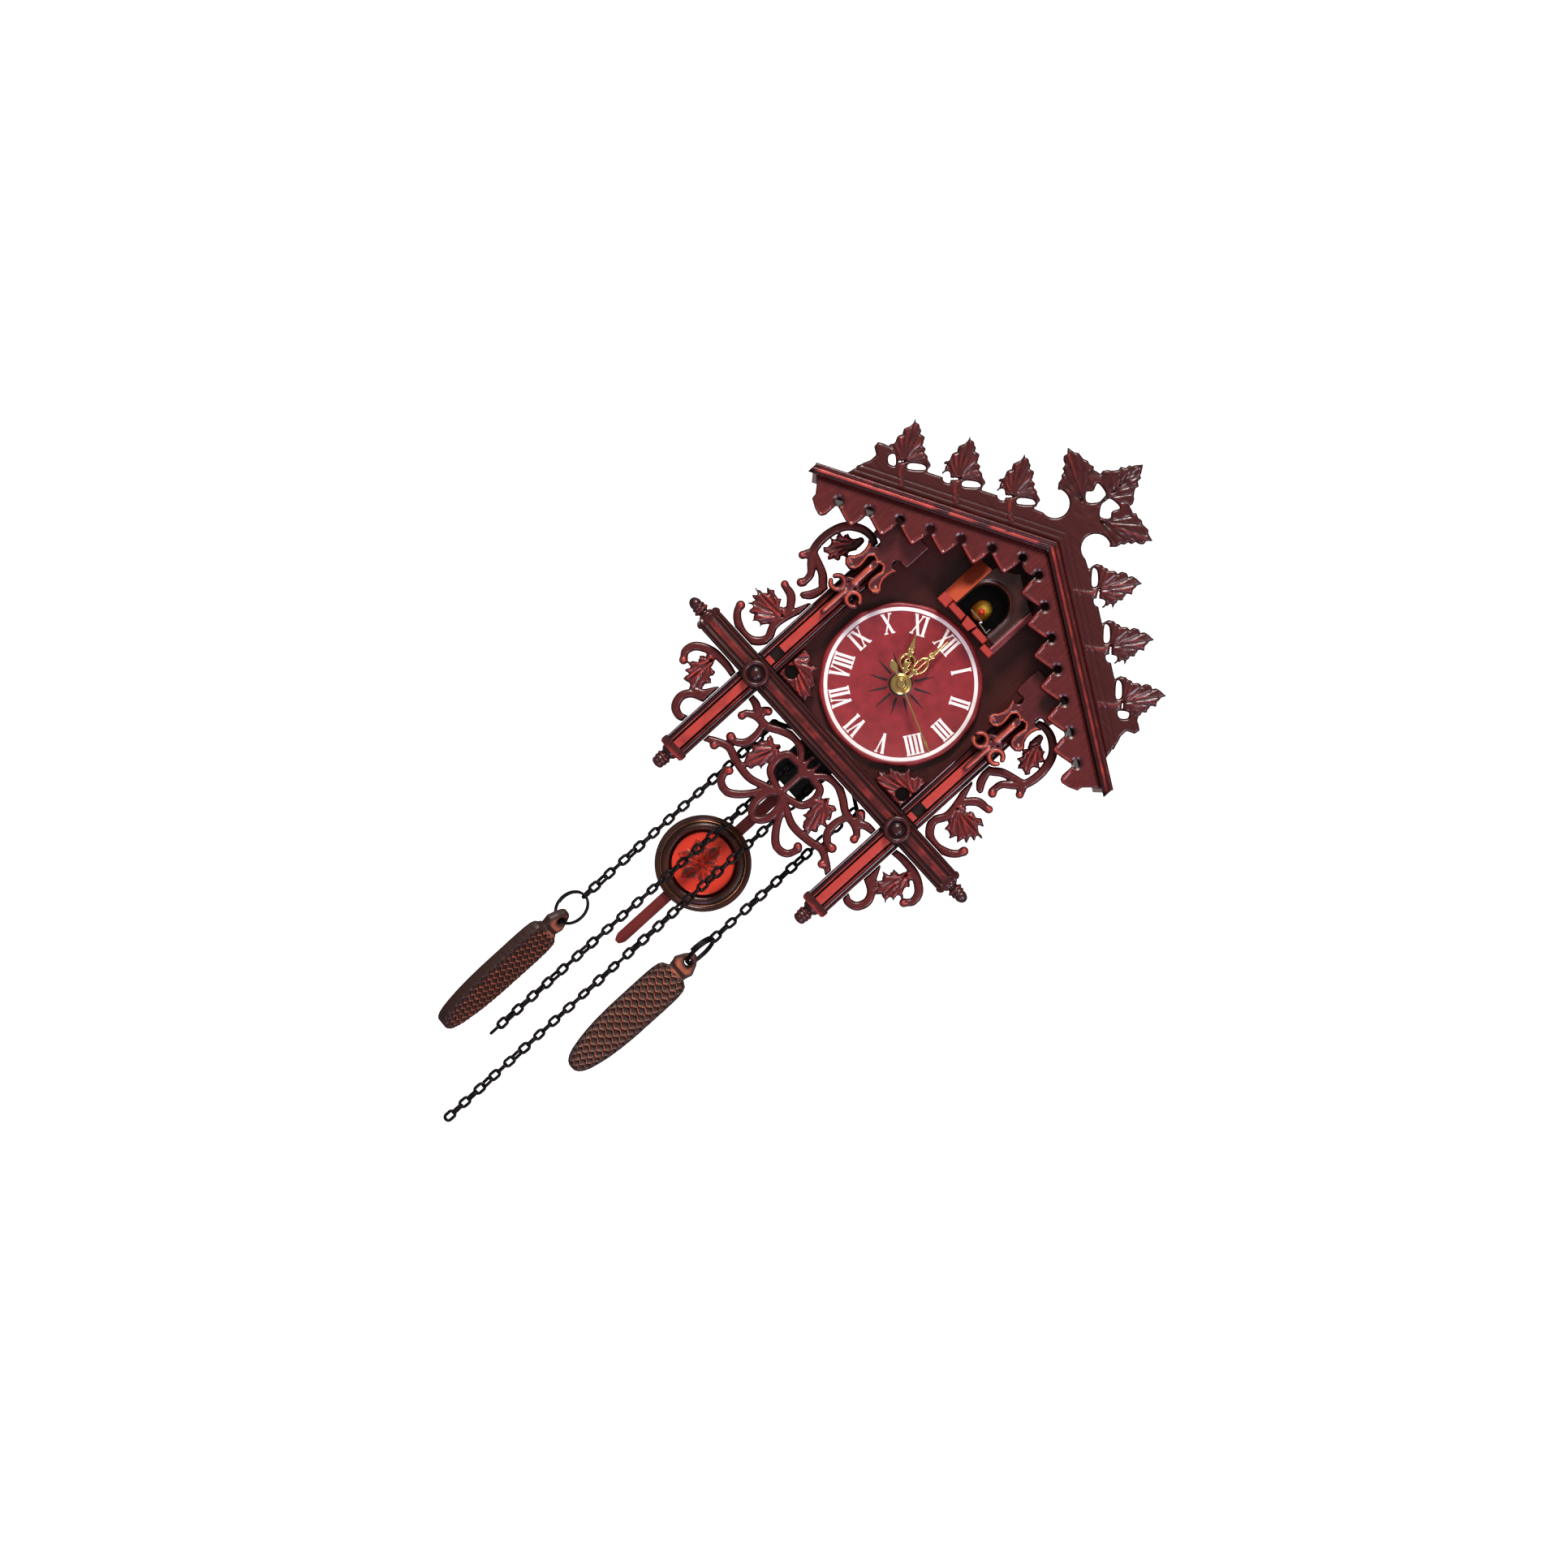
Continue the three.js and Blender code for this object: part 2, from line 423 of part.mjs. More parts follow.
// Drawn for the left side, x < 0.
const VINES = {
  vine_upper: {
    bars: [
      [[-66.5, 35], [-75, 40], [-86, 35], [-89, 25], [-88, 15], [-84, 9], [-79, 4], [-78, -2]],
      [[-86, 13], [-75, 9], [-70, 5], [-66.5, 3]],
      [[-87, 13], [-89.6, 8]],
      [[-68, 4], [-70, -3], [-73, -7]],
    ],
    leaves: [[[-87, 31], [-84, 17], [-78, 15.5], [-76.5, 20], [-73, 22], [-74, 28], [-71, 33], [-78, 34.5],
      [-82, 32]]],
    balls: [[-79.2, -3.2, 2.5], [-90, 7.5, 2.1]],
  },
  vine_middle: {
    bars: [
      [[-66.5, -9], [-70, -20], [-71.5, -30], [-68.5, -38], [-73, -44.5], [-80, -46], [-87, -43.5],
        [-91, -40], [-92.3, -37]],
      [[-84, -11], [-77, -12.5], [-70.5, -20]],
    ],
    leaves: [[
      [-71, -19], [-77, -20.5], [-82, -17.5], [-90, -19], [-88.5, -22.5], [-95, -24], [-89.5, -28],
        [-91, -33], [-86, -34],
      [-85, -38], [-79, -37], [-75, -33], [-71.5, -29],
    ]],
    balls: [[-92.3, -36.4, 2.6], [-84.6, -10.4, 2.1]],
  },
  vine_lower: {
    bars: [
      [[-66.5, -65.5], [-74, -64.5], [-84, -65.4], [-92, -70], [-94, -76], [-91.4, -80]],
      [[-66.5, -86], [-74, -89.5], [-77, -95], [-75, -101], [-70, -103], [-66.5, -101.5]],
    ],
    leaves: [[
      [-83, -66.5], [-87, -72], [-85.6, -76], [-88, -80], [-84, -82.5], [-83, -87.5], [-78, -88],
        [-74, -91.5],
      [-70.5, -86], [-72, -80], [-70, -75.6], [-74, -72], [-74.5, -66],
    ]],
    balls: [[-91, -80.6, 2.4]],
  },
};

const SCROLL_HALF = {
  bars: [
    [[-1, -74], [-6, -69.6], [-11, -65], [-18, -63.9], [-25, -66.5], [-32, -70.6], [-38, -71],
      [-40.5, -66]],
    [[-34, -71], [-41, -71.6], [-46, -74.5]],
    [[-35, -71], [-33, -78], [-33.6, -85], [-37.6, -89.4], [-41.6, -90]],
    [[0, -90.5], [-8, -93.6], [-18, -97.4], [-30, -96.4], [-38, -94.4], [-45, -97], [-50.4, -100.6]],
    [[0, -68], [-6, -71.6], [-13, -72.6], [-15.4, -79], [-13, -86], [-6, -89], [0, -90]],
    [[0, -89], [-5, -95], [-6, -103], [-3.6, -108.5], [0, -111]],
    [[-6, -93], [-12.4, -104.6], [-20, -111.6], [-27, -110.4], [-30, -104]],
    [[-40, -71.5], [-45, -67.5], [-50.6, -66.5]],
  ],
  leaves: [[[-14.6, -76], [-20, -70.6], [-24, -74], [-28.6, -72.6], [-28.4, -79], [-31.4, -83], [-28, -87],
    [-29, -93.6], [-24.4, -97.6], [-19, -92], [-15, -88]]],
  balls: [[-38.4, -64.8, 2.6], [-46.4, -77.2, 2.5], [-41.9, -89.6, 2.7], [-44.6, -99.6, 2.6],
    [-28.4, -103, 2.5]],
};

const CORNER_LEAF = {
  bars: [],
  leaves: [[
    [-50.8, -26], [-44, -27], [-41, -29.6], [-36.8, -29], [-36, -33.4], [-30.2, -36.2], [-31, -40],
      [-26.6, -41.6], [-28.4, -46.9],
    [-50.8, -46.9],
  ]],
  cuts: [[-45.6, -40, 3.4]],
};

function addCarvings() {
  for (const [name, side] of Object.entries(sides)) {
    for (const [vine, design] of Object.entries(VINES)) {
      add(`${vine}_${name}`, openwork(design, -side), WOODS.carving);
    }
    add(`corner_leaf_${name}`, openwork(CORNER_LEAF, -side), WOODS.carving);
  }
  const both = (list) => list.concat(list.map((points) => mirrored(points, -1)));
  const balls = SCROLL_HALF.balls;
  const design = {
    bars: both(SCROLL_HALF.bars),
    leaves: both(SCROLL_HALF.leaves).concat([[[-3, -62.2], [3, -62.2], [4, -70], [1.6, -75], [1.6, -90],
      [-1.6, -90], [-1.6, -75], [-4, -70]]]),
    balls: balls.concat(balls.map(([x, z, radius]) => [-x, z, radius])),
  };
  add("bottom_scroll", openwork(design), WOODS.carving);
}

// ---- Movement -----------------------------------------------------------------------------------

function addMovement() {
  const m = MOVEMENT;
  const upper = box(-m.halfWidth, m.halfWidth, m.front, m.back, -m.halfWidth, m.halfWidth);
  const neck = box(m.neck[0], m.neck[1], m.neckFront, m.neckBack, m.neckFloor, -m.halfWidth + 1);
  const stub = box(-1, 1, m.neckBack - 1, -33, PENDULUM.pivot - 1, PENDULUM.pivot + 1);
  const bay = box(5, 24, m.back - 14.7, m.back + 1, -25.5, 25.5);
  const pocket = disc(-12, 0, 5.4, m.back + 1, m.back - 1.2, 16);
  add("movement_case", join([upper, neck, stub], [bay, pocket]), BLACK_PLASTIC);
  const cell = turned([[0, -25], [6.6, -25], [7, -24.6], [7, 24], [2.8, 24], [2.8, 25], [0, 25]], 14);
  add("battery", cell.rotateX(Math.PI / 2).translate(14.5, m.back - 7.3, 0), ORANGE);
  const bush = turned([[0, 0], [4.3, 0], [4.3, 12.4], [0, 12.4]], 12);
  add("shaft_bush", facingFront(bush, 0, m.front - GAP, 0), GOLD);
  const knob = turned([[0, 0], [4.6, 0], [5, 0.6], [5, 3.4], [4.4, 4], [0, 4]], 12);
  add("time_set_knob", knob.translate(-12, m.back - 0.9, 0), BLACK_PLASTIC);
}

// ---- Pendulum -----------------------------------------------------------------------------------

function addPendulum() {
  const p = PENDULUM;
  const eye = disc(0, p.pivot, 4, p.pivotY + 0.6, p.pivotY - 0.6, 12);
  const strip = box(-1.6, 1.6, p.pivotY - 0.6, p.pivotY + 0.6, p.pivot - 14, p.pivot);
  const pinHole = box(-1.5, 1.5, p.pivotY - 2, p.pivotY + 2, p.pivot - 1.5, p.pivot + 1.5);
  add("pendulum_hanger", join([eye, strip], [pinHole]), STEEL);
  const half = p.rodWidth / 2;
  const top = p.pivot - 14 - GAP;
  const rod = [[-half, top], [-half, p.rodEnd + 4], [-1, p.rodEnd], [1, p.rodEnd], [half, p.rodEnd + 4],
    [half, top]];
  add("pendulum_rod", board(rod, p.pivotY + 1.6, p.pivotY - 1.6), WOODS.frame);
  const r = p.bobRadius;
  const bob = [[0, 0], [r - 1, 0], [r, 1.4], [r, 4.2], [r - 2.2, 6], [r - 4, 5.2], [r - 6.2, 6.4],
    [r - 8.8, 4.4], [0, 4.4]];
  add("pendulum_bob", facingFront(turned(bob, 32), 0, p.pivotY - 1.6 - GAP, p.bob), WOODS.board);
  const disc2 = [[0, 0], [p.discRadius, 0], [p.discRadius, 1.6], [p.discRadius - 1, 2.4], [0, 3.2]];
  add("bob_medallion", facingFront(turned(disc2, 28), 0, p.pivotY - 6.3 - GAP, p.bob), ORANGE);
}

// ---- Chains, rings and pine-cone weights --------------------------------------------------------

function addChains() {
  const hook = [[-6, -61.5], [-3.6, -60.4], [6.4, -65.6], [5.6, -69.5], [2.8, -69], [2.4, -66.4]];
  const place = { left: -1, right: 1 };
  for (const [name, side] of Object.entries(place)) {
    const centre = side < 0 ? -27.5 : 33.2;
    const outline = hook.map(([x, z]) => [centre + x * side, z]);
    add(`chain_hook_${name}`, board(outline, CHAIN.y + 6.4, CHAIN.y + 3.4), BLACK_METAL);
  }
  for (const [name, points] of Object.entries(STRANDS)) {
    const route = points.map(([x, z]) => new THREE.Vector3(x, CHAIN.y, z));
    const curve = new THREE.CatmullRomCurve3(route);
    const steps = Math.ceil(curve.getLength() / CHAIN.pitch);
    add(name, tube(curve, CHAIN.radius, CHAIN.sides, steps), BLACK_METAL);
  }
  for (const name of ["left", "right"]) {
    const ring = RING[name];
    const hoop = new THREE.TorusGeometry(ring.radius, RING.wire, 6, 22).rotateX(Math.PI / 2);
    hoop.rotateZ(THREE.MathUtils.degToRad(ring.turn));
    add(`split_ring_${name}`, hoop.translate(ring.x, CHAIN.y, ring.z), BLACK_METAL);
  }
}

// A pine cone cut from flat stock: a thin eyed head, a neck and a thicker body that ends in a point.
function addCones() {
  const { height, width, thickness, eye, eyeRadius } = CONE;
  const half = width / 2;
  const head = [[0, 0], [2.5, -1.2], [5, -4.5], [7.4, -9.5], [6.6, -12], [6, -15]];
  const shoulder = [[9.5, -17], [10.7, -19.5], [half - 0.2, -24], [half, -31], [half - 0.1, -56]];
  const tail = [[10.9, -66], [10.1, -74], [8.9, -81], [7.6, -86.5], [6, -90.3], [4.2, -92.6], [2.2, -93.8]];
  const outline = [...head, ...shoulder, ...tail, [0, -height]];
  const full = outline.concat(mirrored(outline.slice(1, -1), -1).reverse());
  const bodyBack = thickness / 2;
  const body = board(full, bodyBack, -bodyBack);
  const headCut = box(-20, 20, -bodyBack - 1, -1.6, -13.5, 1);
  const headCutBack = box(-20, 20, 1.6, bodyBack + 1, -13.5, 1);
  const hole = disc(0, -eye, eyeRadius, 6, -6, 12);
  const cone = join([body], [headCut, headCutBack, hole]);
  const ringLow = (ring) => ring.z - ring.radius;
  const top = (ring) => ringLow(ring) + eye + eyeRadius - RING.wire - 0.75;
  const left = cone.clone().rotateZ(THREE.MathUtils.degToRad(CONE.leftTurn));
  add("pine_cone_left", left.translate(RING.left.x, CHAIN.y, top(RING.left)), CONE_BROWN);
  add("pine_cone_right", cone.translate(RING.right.x, CHAIN.y, top(RING.right)), CONE_BROWN);
}

addCase();
addRoof();
addCrest();
addBird();
addDial();
addLadder();
addCarvings();
addMovement();
addPendulum();
addChains();
addCones();

export default clock;
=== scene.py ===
"""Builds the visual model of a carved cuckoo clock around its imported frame."""
import math

import bmesh
import bpy
import numpy as np
from mathutils import Matrix, Vector


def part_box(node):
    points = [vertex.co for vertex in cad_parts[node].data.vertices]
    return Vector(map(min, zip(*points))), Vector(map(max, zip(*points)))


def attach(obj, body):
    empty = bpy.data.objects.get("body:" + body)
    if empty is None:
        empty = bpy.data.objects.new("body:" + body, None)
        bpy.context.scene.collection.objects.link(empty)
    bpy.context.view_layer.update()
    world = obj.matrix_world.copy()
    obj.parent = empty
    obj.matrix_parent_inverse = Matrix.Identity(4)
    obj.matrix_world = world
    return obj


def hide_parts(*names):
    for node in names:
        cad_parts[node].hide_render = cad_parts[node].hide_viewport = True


bl_info = {
    "name": "Carved Cuckoo Clock",
    "version": (1, 0, 0),
    "blender": (4, 5, 0),
    "location": "View3D > Sidebar > Clock",
    "description": "Builds a carved wall clock with a bird, a pendulum and pine-cone weights",
    "category": "Object",
}

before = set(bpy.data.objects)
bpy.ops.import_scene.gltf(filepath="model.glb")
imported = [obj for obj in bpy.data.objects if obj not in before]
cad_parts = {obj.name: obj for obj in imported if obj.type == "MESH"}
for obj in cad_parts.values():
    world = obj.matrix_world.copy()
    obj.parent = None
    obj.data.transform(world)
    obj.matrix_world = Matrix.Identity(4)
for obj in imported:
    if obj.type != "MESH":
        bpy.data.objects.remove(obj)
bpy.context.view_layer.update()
MM = 0.001
SLOPE = math.radians(29.5)
SIDES = {"left": -1, "right": 1}


def span(node):
    """The lowest and highest corners of a frame node, in millimetres."""
    low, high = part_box(node)
    return low / MM, high / MM


# ---- Settings ----------------------------------------------------------------------------------------------

def tint(name, text, default):
    """A colour setting."""
    return bpy.props.FloatVectorProperty(
        name=name, description=text, default=default, size=3, min=0, max=1, subtype="COLOR_GAMMA"
    )


def length(name, text, default):
    """A length setting, in millimetres."""
    return bpy.props.FloatProperty(name=name, description=text, default=default, min=0)


class ClockFinishes(bpy.types.PropertyGroup):
    """The colours of the clock."""

    # Shadow red: the dark of the grain streaks; on the carvings it is also painted shade, in the cuts and
    # towards their backs.
    shade: tint("Shadow red", "Stain in the hollows of the wood", (0.014, 0.003, 0.003))
    body: tint("Mahogany red", "Main stain of the wood", (0.100, 0.010, 0.010))
    # This red covers wearing on ridges and edges, mixed with a painted highlight.
    worn_and_lit: tint("Worn red", "Stain on the ridges and edges", (0.420, 0.045, 0.034))
    board: tint("Board brown", "The board behind the dial", (0.045, 0.010, 0.007))
    plain: tint("Plain wood", "Unstained plywood at the back", (0.420, 0.270, 0.150))
    dial: tint("Dial crimson", "Ground of the dial", (0.270, 0.020, 0.026))
    numeral: tint("Numeral white", "Ring and numerals", (0.900, 0.850, 0.810))
    gold: tint("Gold", "Hands and nut", (0.830, 0.600, 0.230))
    disc: tint("Disc orange", "Ground of the pendulum's disc", (0.560, 0.035, 0.014))
    cone: tint("Cone brown", "Scales of the pine cones", (0.028, 0.009, 0.006))


class ClockSizes(bpy.types.PropertyGroup):
    """The fine sizes that the frame leaves to the carver, in millimetres."""

    grid: length("Carving grid", "Spacing of the carved surface's points", 0.5)
    crown: length("Crown", "How far a carved bar rises over its edge", 2.2)
    link_wire: length("Link wire", "Thickness of a chain link's wire", 1.9)
    link_long: length("Link length", "Outer length of a chain link", 8.1)
    link_pitch: length("Link pitch", "Distance from link to link", 5.6)
    numeral_height: length("Numeral height", "Height of a numeral on the dial", 11.5)


def finishes():
    return bpy.context.scene.clock_finishes


def sizes():
    return bpy.context.scene.clock_sizes


# ---- Shader tools ------------------------------------------------------------------------------------------

class Value:
    """A number socket, on which Python's arithmetic adds Math nodes."""

    def __init__(self, finish, socket):
        self.finish = finish
        self.socket = socket

    def math(self, operation, *others, first=None):
        inputs = [self if first is None else first, *others]
        node = self.finish.node("ShaderNodeMath", {"operation": operation}, dict(enumerate(inputs)))
        return Value(self.finish, node.outputs[0])

    def __add__(self, other):
        return self.math("ADD", other)

    def __sub__(self, other):
        return self.math("SUBTRACT", other)

    def __mul__(self, other):
        return self.math("MULTIPLY", other)

    def __radd__(self, other):
        return self.math("ADD", self, first=other)

    def __rsub__(self, other):
        return self.math("SUBTRACT", self, first=other)

    def __rmul__(self, other):
        return self.math("MULTIPLY", self, first=other)

    def clamped(self):
        return self.math("MAXIMUM", 0.0).math("MINIMUM", 1.0)


class Finish:
    """One material, its nodes and its principled shader."""

    def __init__(self, name, **constants):
        self.material = bpy.data.materials.new(name)
        self.material.use_nodes = True
        self.tree = self.material.node_tree
        self.shader = self.tree.nodes["Principled BSDF"]
        for socket, value in constants.items():
            self.shader.inputs[socket.replace("_", " ")].default_value = value

    def node(self, kind, settings=None, inputs=None):
        """Adds a node: its settings come first, then the values or links of its sockets."""
        made = self.tree.nodes.new(kind)
        for key, value in (settings or {}).items():
            if key == "stops":
                ramp = made.color_ramp
                while len(ramp.elements) < len(value):
                    ramp.elements.new(0.5)
                for element, (place, colour) in zip(ramp.elements, value):
                    element.position = place
                    element.color = (*colour, 1)
            else:
                setattr(made, key, value)
        for key, value in (inputs or {}).items():
            self.feed(made.inputs[key], value)
        return made

    def feed(self, socket, value):
        if isinstance(value, Value):
            value = value.socket
        if isinstance(value, bpy.types.NodeSocket):
            self.tree.links.new(value, socket)
        else:
            socket.default_value = value

    def set(self, socket, value):
        self.feed(self.shader.inputs[socket], value)

    def place(self, stretch=(1, 1, 1)):
        """Object coordinates in millimetres, divided by how far the pattern is stretched each way."""
        coordinates = self.node("ShaderNodeTexCoord")
        scale = [1 / (MM * s) for s in stretch]
        settings = {"operation": "MULTIPLY"}
        inputs = {0: coordinates.outputs["Object"], 1: scale}
        return self.node("ShaderNodeVectorMath", settings, inputs).outputs[0]

    def noise(self, stretch=(1, 1, 1), detail=4.0, distortion=0.0, roughness=0.55):
        inputs = {"Vector": self.place(stretch), "Scale": 1.0, "Detail": detail, "Roughness": roughness}
        inputs["Distortion"] = distortion
        return Value(self, self.node("ShaderNodeTexNoise", None, inputs).outputs[0])

    def attribute(self, name):
        return Value(self, self.node("ShaderNodeAttribute", {"attribute_name": name}).outputs["Fac"])

    def edges(self):
        """Near 1 on ridges and near 0 in hollows."""
        point = Value(self, self.node("ShaderNodeNewGeometry").outputs["Pointiness"])
        return ((point - 0.5) * 9.0 + 0.5).clamped()

    def mix(self, factor, low, high):
        """One colour over another; sockets 6 and 7 are the colours of a Mix node."""
        inputs = {"Factor": factor, 6: self.colour(low), 7: self.colour(high)}
        return self.node("ShaderNodeMix", {"data_type": "RGBA"}, inputs).outputs[2]

    @staticmethod
    def colour(value):
        return value if isinstance(value, bpy.types.NodeSocket) else (*value, 1)

    def bump(self, height, distance, strength=1.0):
        inputs = {"Height": height, "Distance": distance * MM, "Strength": strength}
        self.set("Normal", self.node("ShaderNodeBump", None, inputs).outputs[0])


# ---- Finishes ----------------------------------------------------------------------------------------------

GRAIN = {"x": (26, 2.2, 1.1), "z": (1.1, 2.2, 26), "y": (1.6, 26, 1.6)}


def stained_wood(name, grain, shade, body, worn_and_lit, wear_and_painted_light=0.75, gloss=0.34):
    """Stained, lacquered wood: streaked along its grain, and bright on its ridges and edges, where wearing
    and a painted highlight are mixed.
    """
    wood = Finish(name, Coat_Weight=0.2, Coat_Roughness=0.2, Specular_IOR_Level=0.3)
    streaks = wood.noise(GRAIN[grain], detail=6.0, distortion=0.5)
    patches = wood.noise((17, 17, 17), detail=3.0)
    pores = wood.noise(tuple(s / 5 for s in GRAIN[grain]), detail=3.0)
    ground = wood.mix(((streaks - 0.32) * 2.1 + (patches - 0.5) * 0.9).clamped(), shade, body)
    # Ridges and edges turn brighter red: wearing mixed with a painted highlight.
    edge = wood.edges()
    rubbed_and_lit = ((edge - 0.52) * 2.6 + (patches - 0.55) * 1.2).clamped() * wear_and_painted_light
    wood.set("Base Color", wood.mix(rubbed_and_lit, ground, worn_and_lit))
    wood.set("Roughness", (gloss + (pores - 0.5) * 0.35 + (patches - 0.5) * 0.2).clamped())
    wood.bump(streaks * 0.5 + pores * 0.5, 0.12)
    return wood.material


def carved_wood(name, shade, body, worn_and_lit, wear_and_painted_light=0.9, grain=(1.0, 2.0, 7.0)):
    """Lacquered carving: dark in the cuts, where stain pools and shade is painted, and brighter on the raised
    parts, where wearing and a painted highlight are mixed.
    """
    wood = Finish(name, Coat_Weight=0.3, Coat_Roughness=0.18, Specular_IOR_Level=0.3)
    lift = wood.attribute("lift")
    patches = wood.noise((9, 9, 9), detail=4.0)
    fibres = wood.noise(grain, detail=5.0, distortion=0.6)
    # Low lift turns to the shadow red: stain in the cuts mixed with painted shade.
    ground = wood.mix((lift * 1.2 - 0.25 + (fibres - 0.5) * 0.7).clamped(), shade, body)
    # High lift turns to the bright red: wearing mixed with a painted highlight on the raised parts.
    rubbed_and_lit = ((lift - 0.72) * 2.4 + (patches - 0.52) * 1.9 + (wood.edges() - 0.6) * 0.9).clamped() * wear_and_painted_light
    wood.set("Base Color", wood.mix(rubbed_and_lit, ground, worn_and_lit))
    wood.set("Roughness", (0.33 + (fibres - 0.5) * 0.3).clamped())
    wood.bump(fibres, 0.14)
    return wood.material


def metal(name, colour, rough, streak=0.1):
    """Bare metal with fine drawing marks."""
    made = Finish(name, Metallic=1.0)
    marks = made.noise((0.6, 6, 0.6), detail=3.0)
    cloud = made.noise((8, 8, 8), detail=2.0)
    darker = tuple(c * 0.78 for c in colour)
    made.set("Base Color", made.mix(cloud, darker, colour))
    made.set("Roughness", (rough + (marks - 0.5) * streak + (cloud - 0.5) * 0.12).clamped())
    made.bump(marks, 0.02)
    return made.material


def moulded(name, colour, rough, speck=0.25):
    """Paint or moulded plastic with a slight mottle."""
    made = Finish(name, Specular_IOR_Level=0.45)
    cloud = made.noise((6, 6, 6), detail=4.0)
    fine = made.noise((0.5, 0.5, 0.5), detail=2.0)
    darker = tuple(c * (1 - speck) for c in colour)
    made.set("Base Color", made.mix(((cloud - 0.3) * 2.2).clamped(), darker, colour))
    made.set("Roughness", (rough + (fine - 0.5) * 0.2).clamped())
    made.bump(fine, 0.03)
    return made.material


def relief_paint(name, low, high, threshold=0.5, rough=0.35):
    """Two stains parted by the height of the carving."""
    made = Finish(name, Coat_Weight=0.1, Coat_Roughness=0.25, Specular_IOR_Level=0.3)
    lift = made.attribute("lift")
    cloud = made.noise((4, 4, 4), detail=4.0)
    sharp = ((lift - threshold) * 4.0 + (cloud - 0.5) * 0.9 + 0.5).clamped()
    made.set("Base Color", made.mix(sharp, low, high))
    made.set("Roughness", (rough + (cloud - 0.5) * 0.3).clamped())
    made.bump(cloud, 0.1)
    return made.material


def glow(name, colour, strength):
    """A bright, even backdrop."""
    made = Finish(name, Roughness=1.0, Specular_IOR_Level=0.0)
    made.shader.inputs["Base Color"].default_value = (*colour, 1)
    made.shader.inputs["Emission Color"].default_value = (*colour, 1)
    made.shader.inputs["Emission Strength"].default_value = strength
    return made.material


PALETTE = {}


def paint(name):
    """The material of that name, made when it is first asked for."""
    if name not in PALETTE:
        c = finishes()
        shade, body, worn_and_lit = tuple(c.shade), tuple(c.body), tuple(c.worn_and_lit)
        recipes = {
            "red_wood_y": lambda: stained_wood(name, "y", shade, body, worn_and_lit),
            "red_wood_z": lambda: stained_wood(name, "z", shade, body, worn_and_lit),
            "rod_wood": lambda: stained_wood(name, "z", shade, (0.075, 0.010, 0.009), worn_and_lit, wear_and_painted_light=0.25),
            # Brighter copy of the red wood: painted light on the door frame's left cheek.
            "key_lit_wood_z": lambda: stained_wood(name, "z", body, worn_and_lit, (0.72, 0.13, 0.06), gloss=0.28),
            "niche_wood": lambda: carved_wood(name, (0.008, 0.003, 0.002), (0.050, 0.012, 0.009), body, 0.6,
                                              GRAIN["z"]),
            # Brighter copy of the red wood, for the sill.
            "bright_sill_wood": lambda: stained_wood(name, "z", body, (0.22, 0.028, 0.026), worn_and_lit, gloss=0.28),
            # Pale pink copy of the red wood: painted reflection on the door frame's right cheek.
            "pink_lit_wood": lambda: stained_wood(name, "z", (0.14, 0.025, 0.025), (0.34, 0.08, 0.08),
                                              (0.45, 0.13, 0.12), gloss=0.28),
            "dark_wood": lambda: stained_wood(name, "z", (0.012, 0.004, 0.003), tuple(c.board), body,
                                              wear_and_painted_light=0.4),
            "bob_wood": lambda: stained_wood(name, "x", (0.004, 0.002, 0.001), (0.013, 0.004, 0.003),
                                             (0.20, 0.04, 0.02), 0.25),
            "plywood": lambda: stained_wood(name, "z", tuple(v * 0.6 for v in c.plain), tuple(c.plain),
                                            tuple(v * 1.2 for v in c.plain), wear_and_painted_light=0.2, gloss=0.6),
            "carving": lambda: carved_wood(name, shade, (0.150, 0.015, 0.015), worn_and_lit),
            "corbel_wood": lambda: carved_wood(name, shade, (0.120, 0.014, 0.018), (0.60, 0.10, 0.05), 0.9),
            "crest_wood": lambda: carved_wood(name, shade, tuple(v * 0.8 for v in body), worn_and_lit, 0.45,
                                              GRAIN["x"]),
            "banded_x": lambda: carved_wood(name, shade, body, worn_and_lit, 1.0, GRAIN["x"]),
            "banded_z": lambda: carved_wood(name, shade, body, worn_and_lit, 1.0, GRAIN["z"]),
            "dial_paint": lambda: moulded(name, tuple(c.dial), 0.42, 0.35),
            "numeral_paint": lambda: moulded(name, tuple(c.numeral), 0.45, 0.12),
            "black_paint": lambda: moulded(name, (0.012, 0.011, 0.010), 0.4),
            "black_plastic": lambda: moulded(name, (0.014, 0.014, 0.015), 0.42),
            "black_metal": lambda: metal(name, (0.02, 0.018, 0.018), 0.4),
            "gold": lambda: metal(name, tuple(c.gold), 0.26),
            "copper_line": lambda: metal(name, (0.62, 0.27, 0.12), 0.4),
            "steel": lambda: metal(name, (0.74, 0.75, 0.77), 0.24),
            "battery_jacket": lambda: moulded(name, (0.62, 0.2, 0.05), 0.25, 0.1),
            "bird_yellow": lambda: moulded(name, (1.0, 0.62, 0.06), 0.45, 0.2),
            "beak_red": lambda: moulded(name, (0.62, 0.03, 0.015), 0.3),
            "disc_relief": lambda: relief_paint(name, tuple(c.disc), (0.055, 0.014, 0.010), 0.55),
            "cone_scales": lambda: relief_paint(name, tuple(c.cone), (0.50, 0.14, 0.06), 0.64, 0.55),
        }
        PALETTE[name] = recipes[name]()
    return PALETTE[name]


# ---- Shape tools -------------------------------------------------------------------------------------------

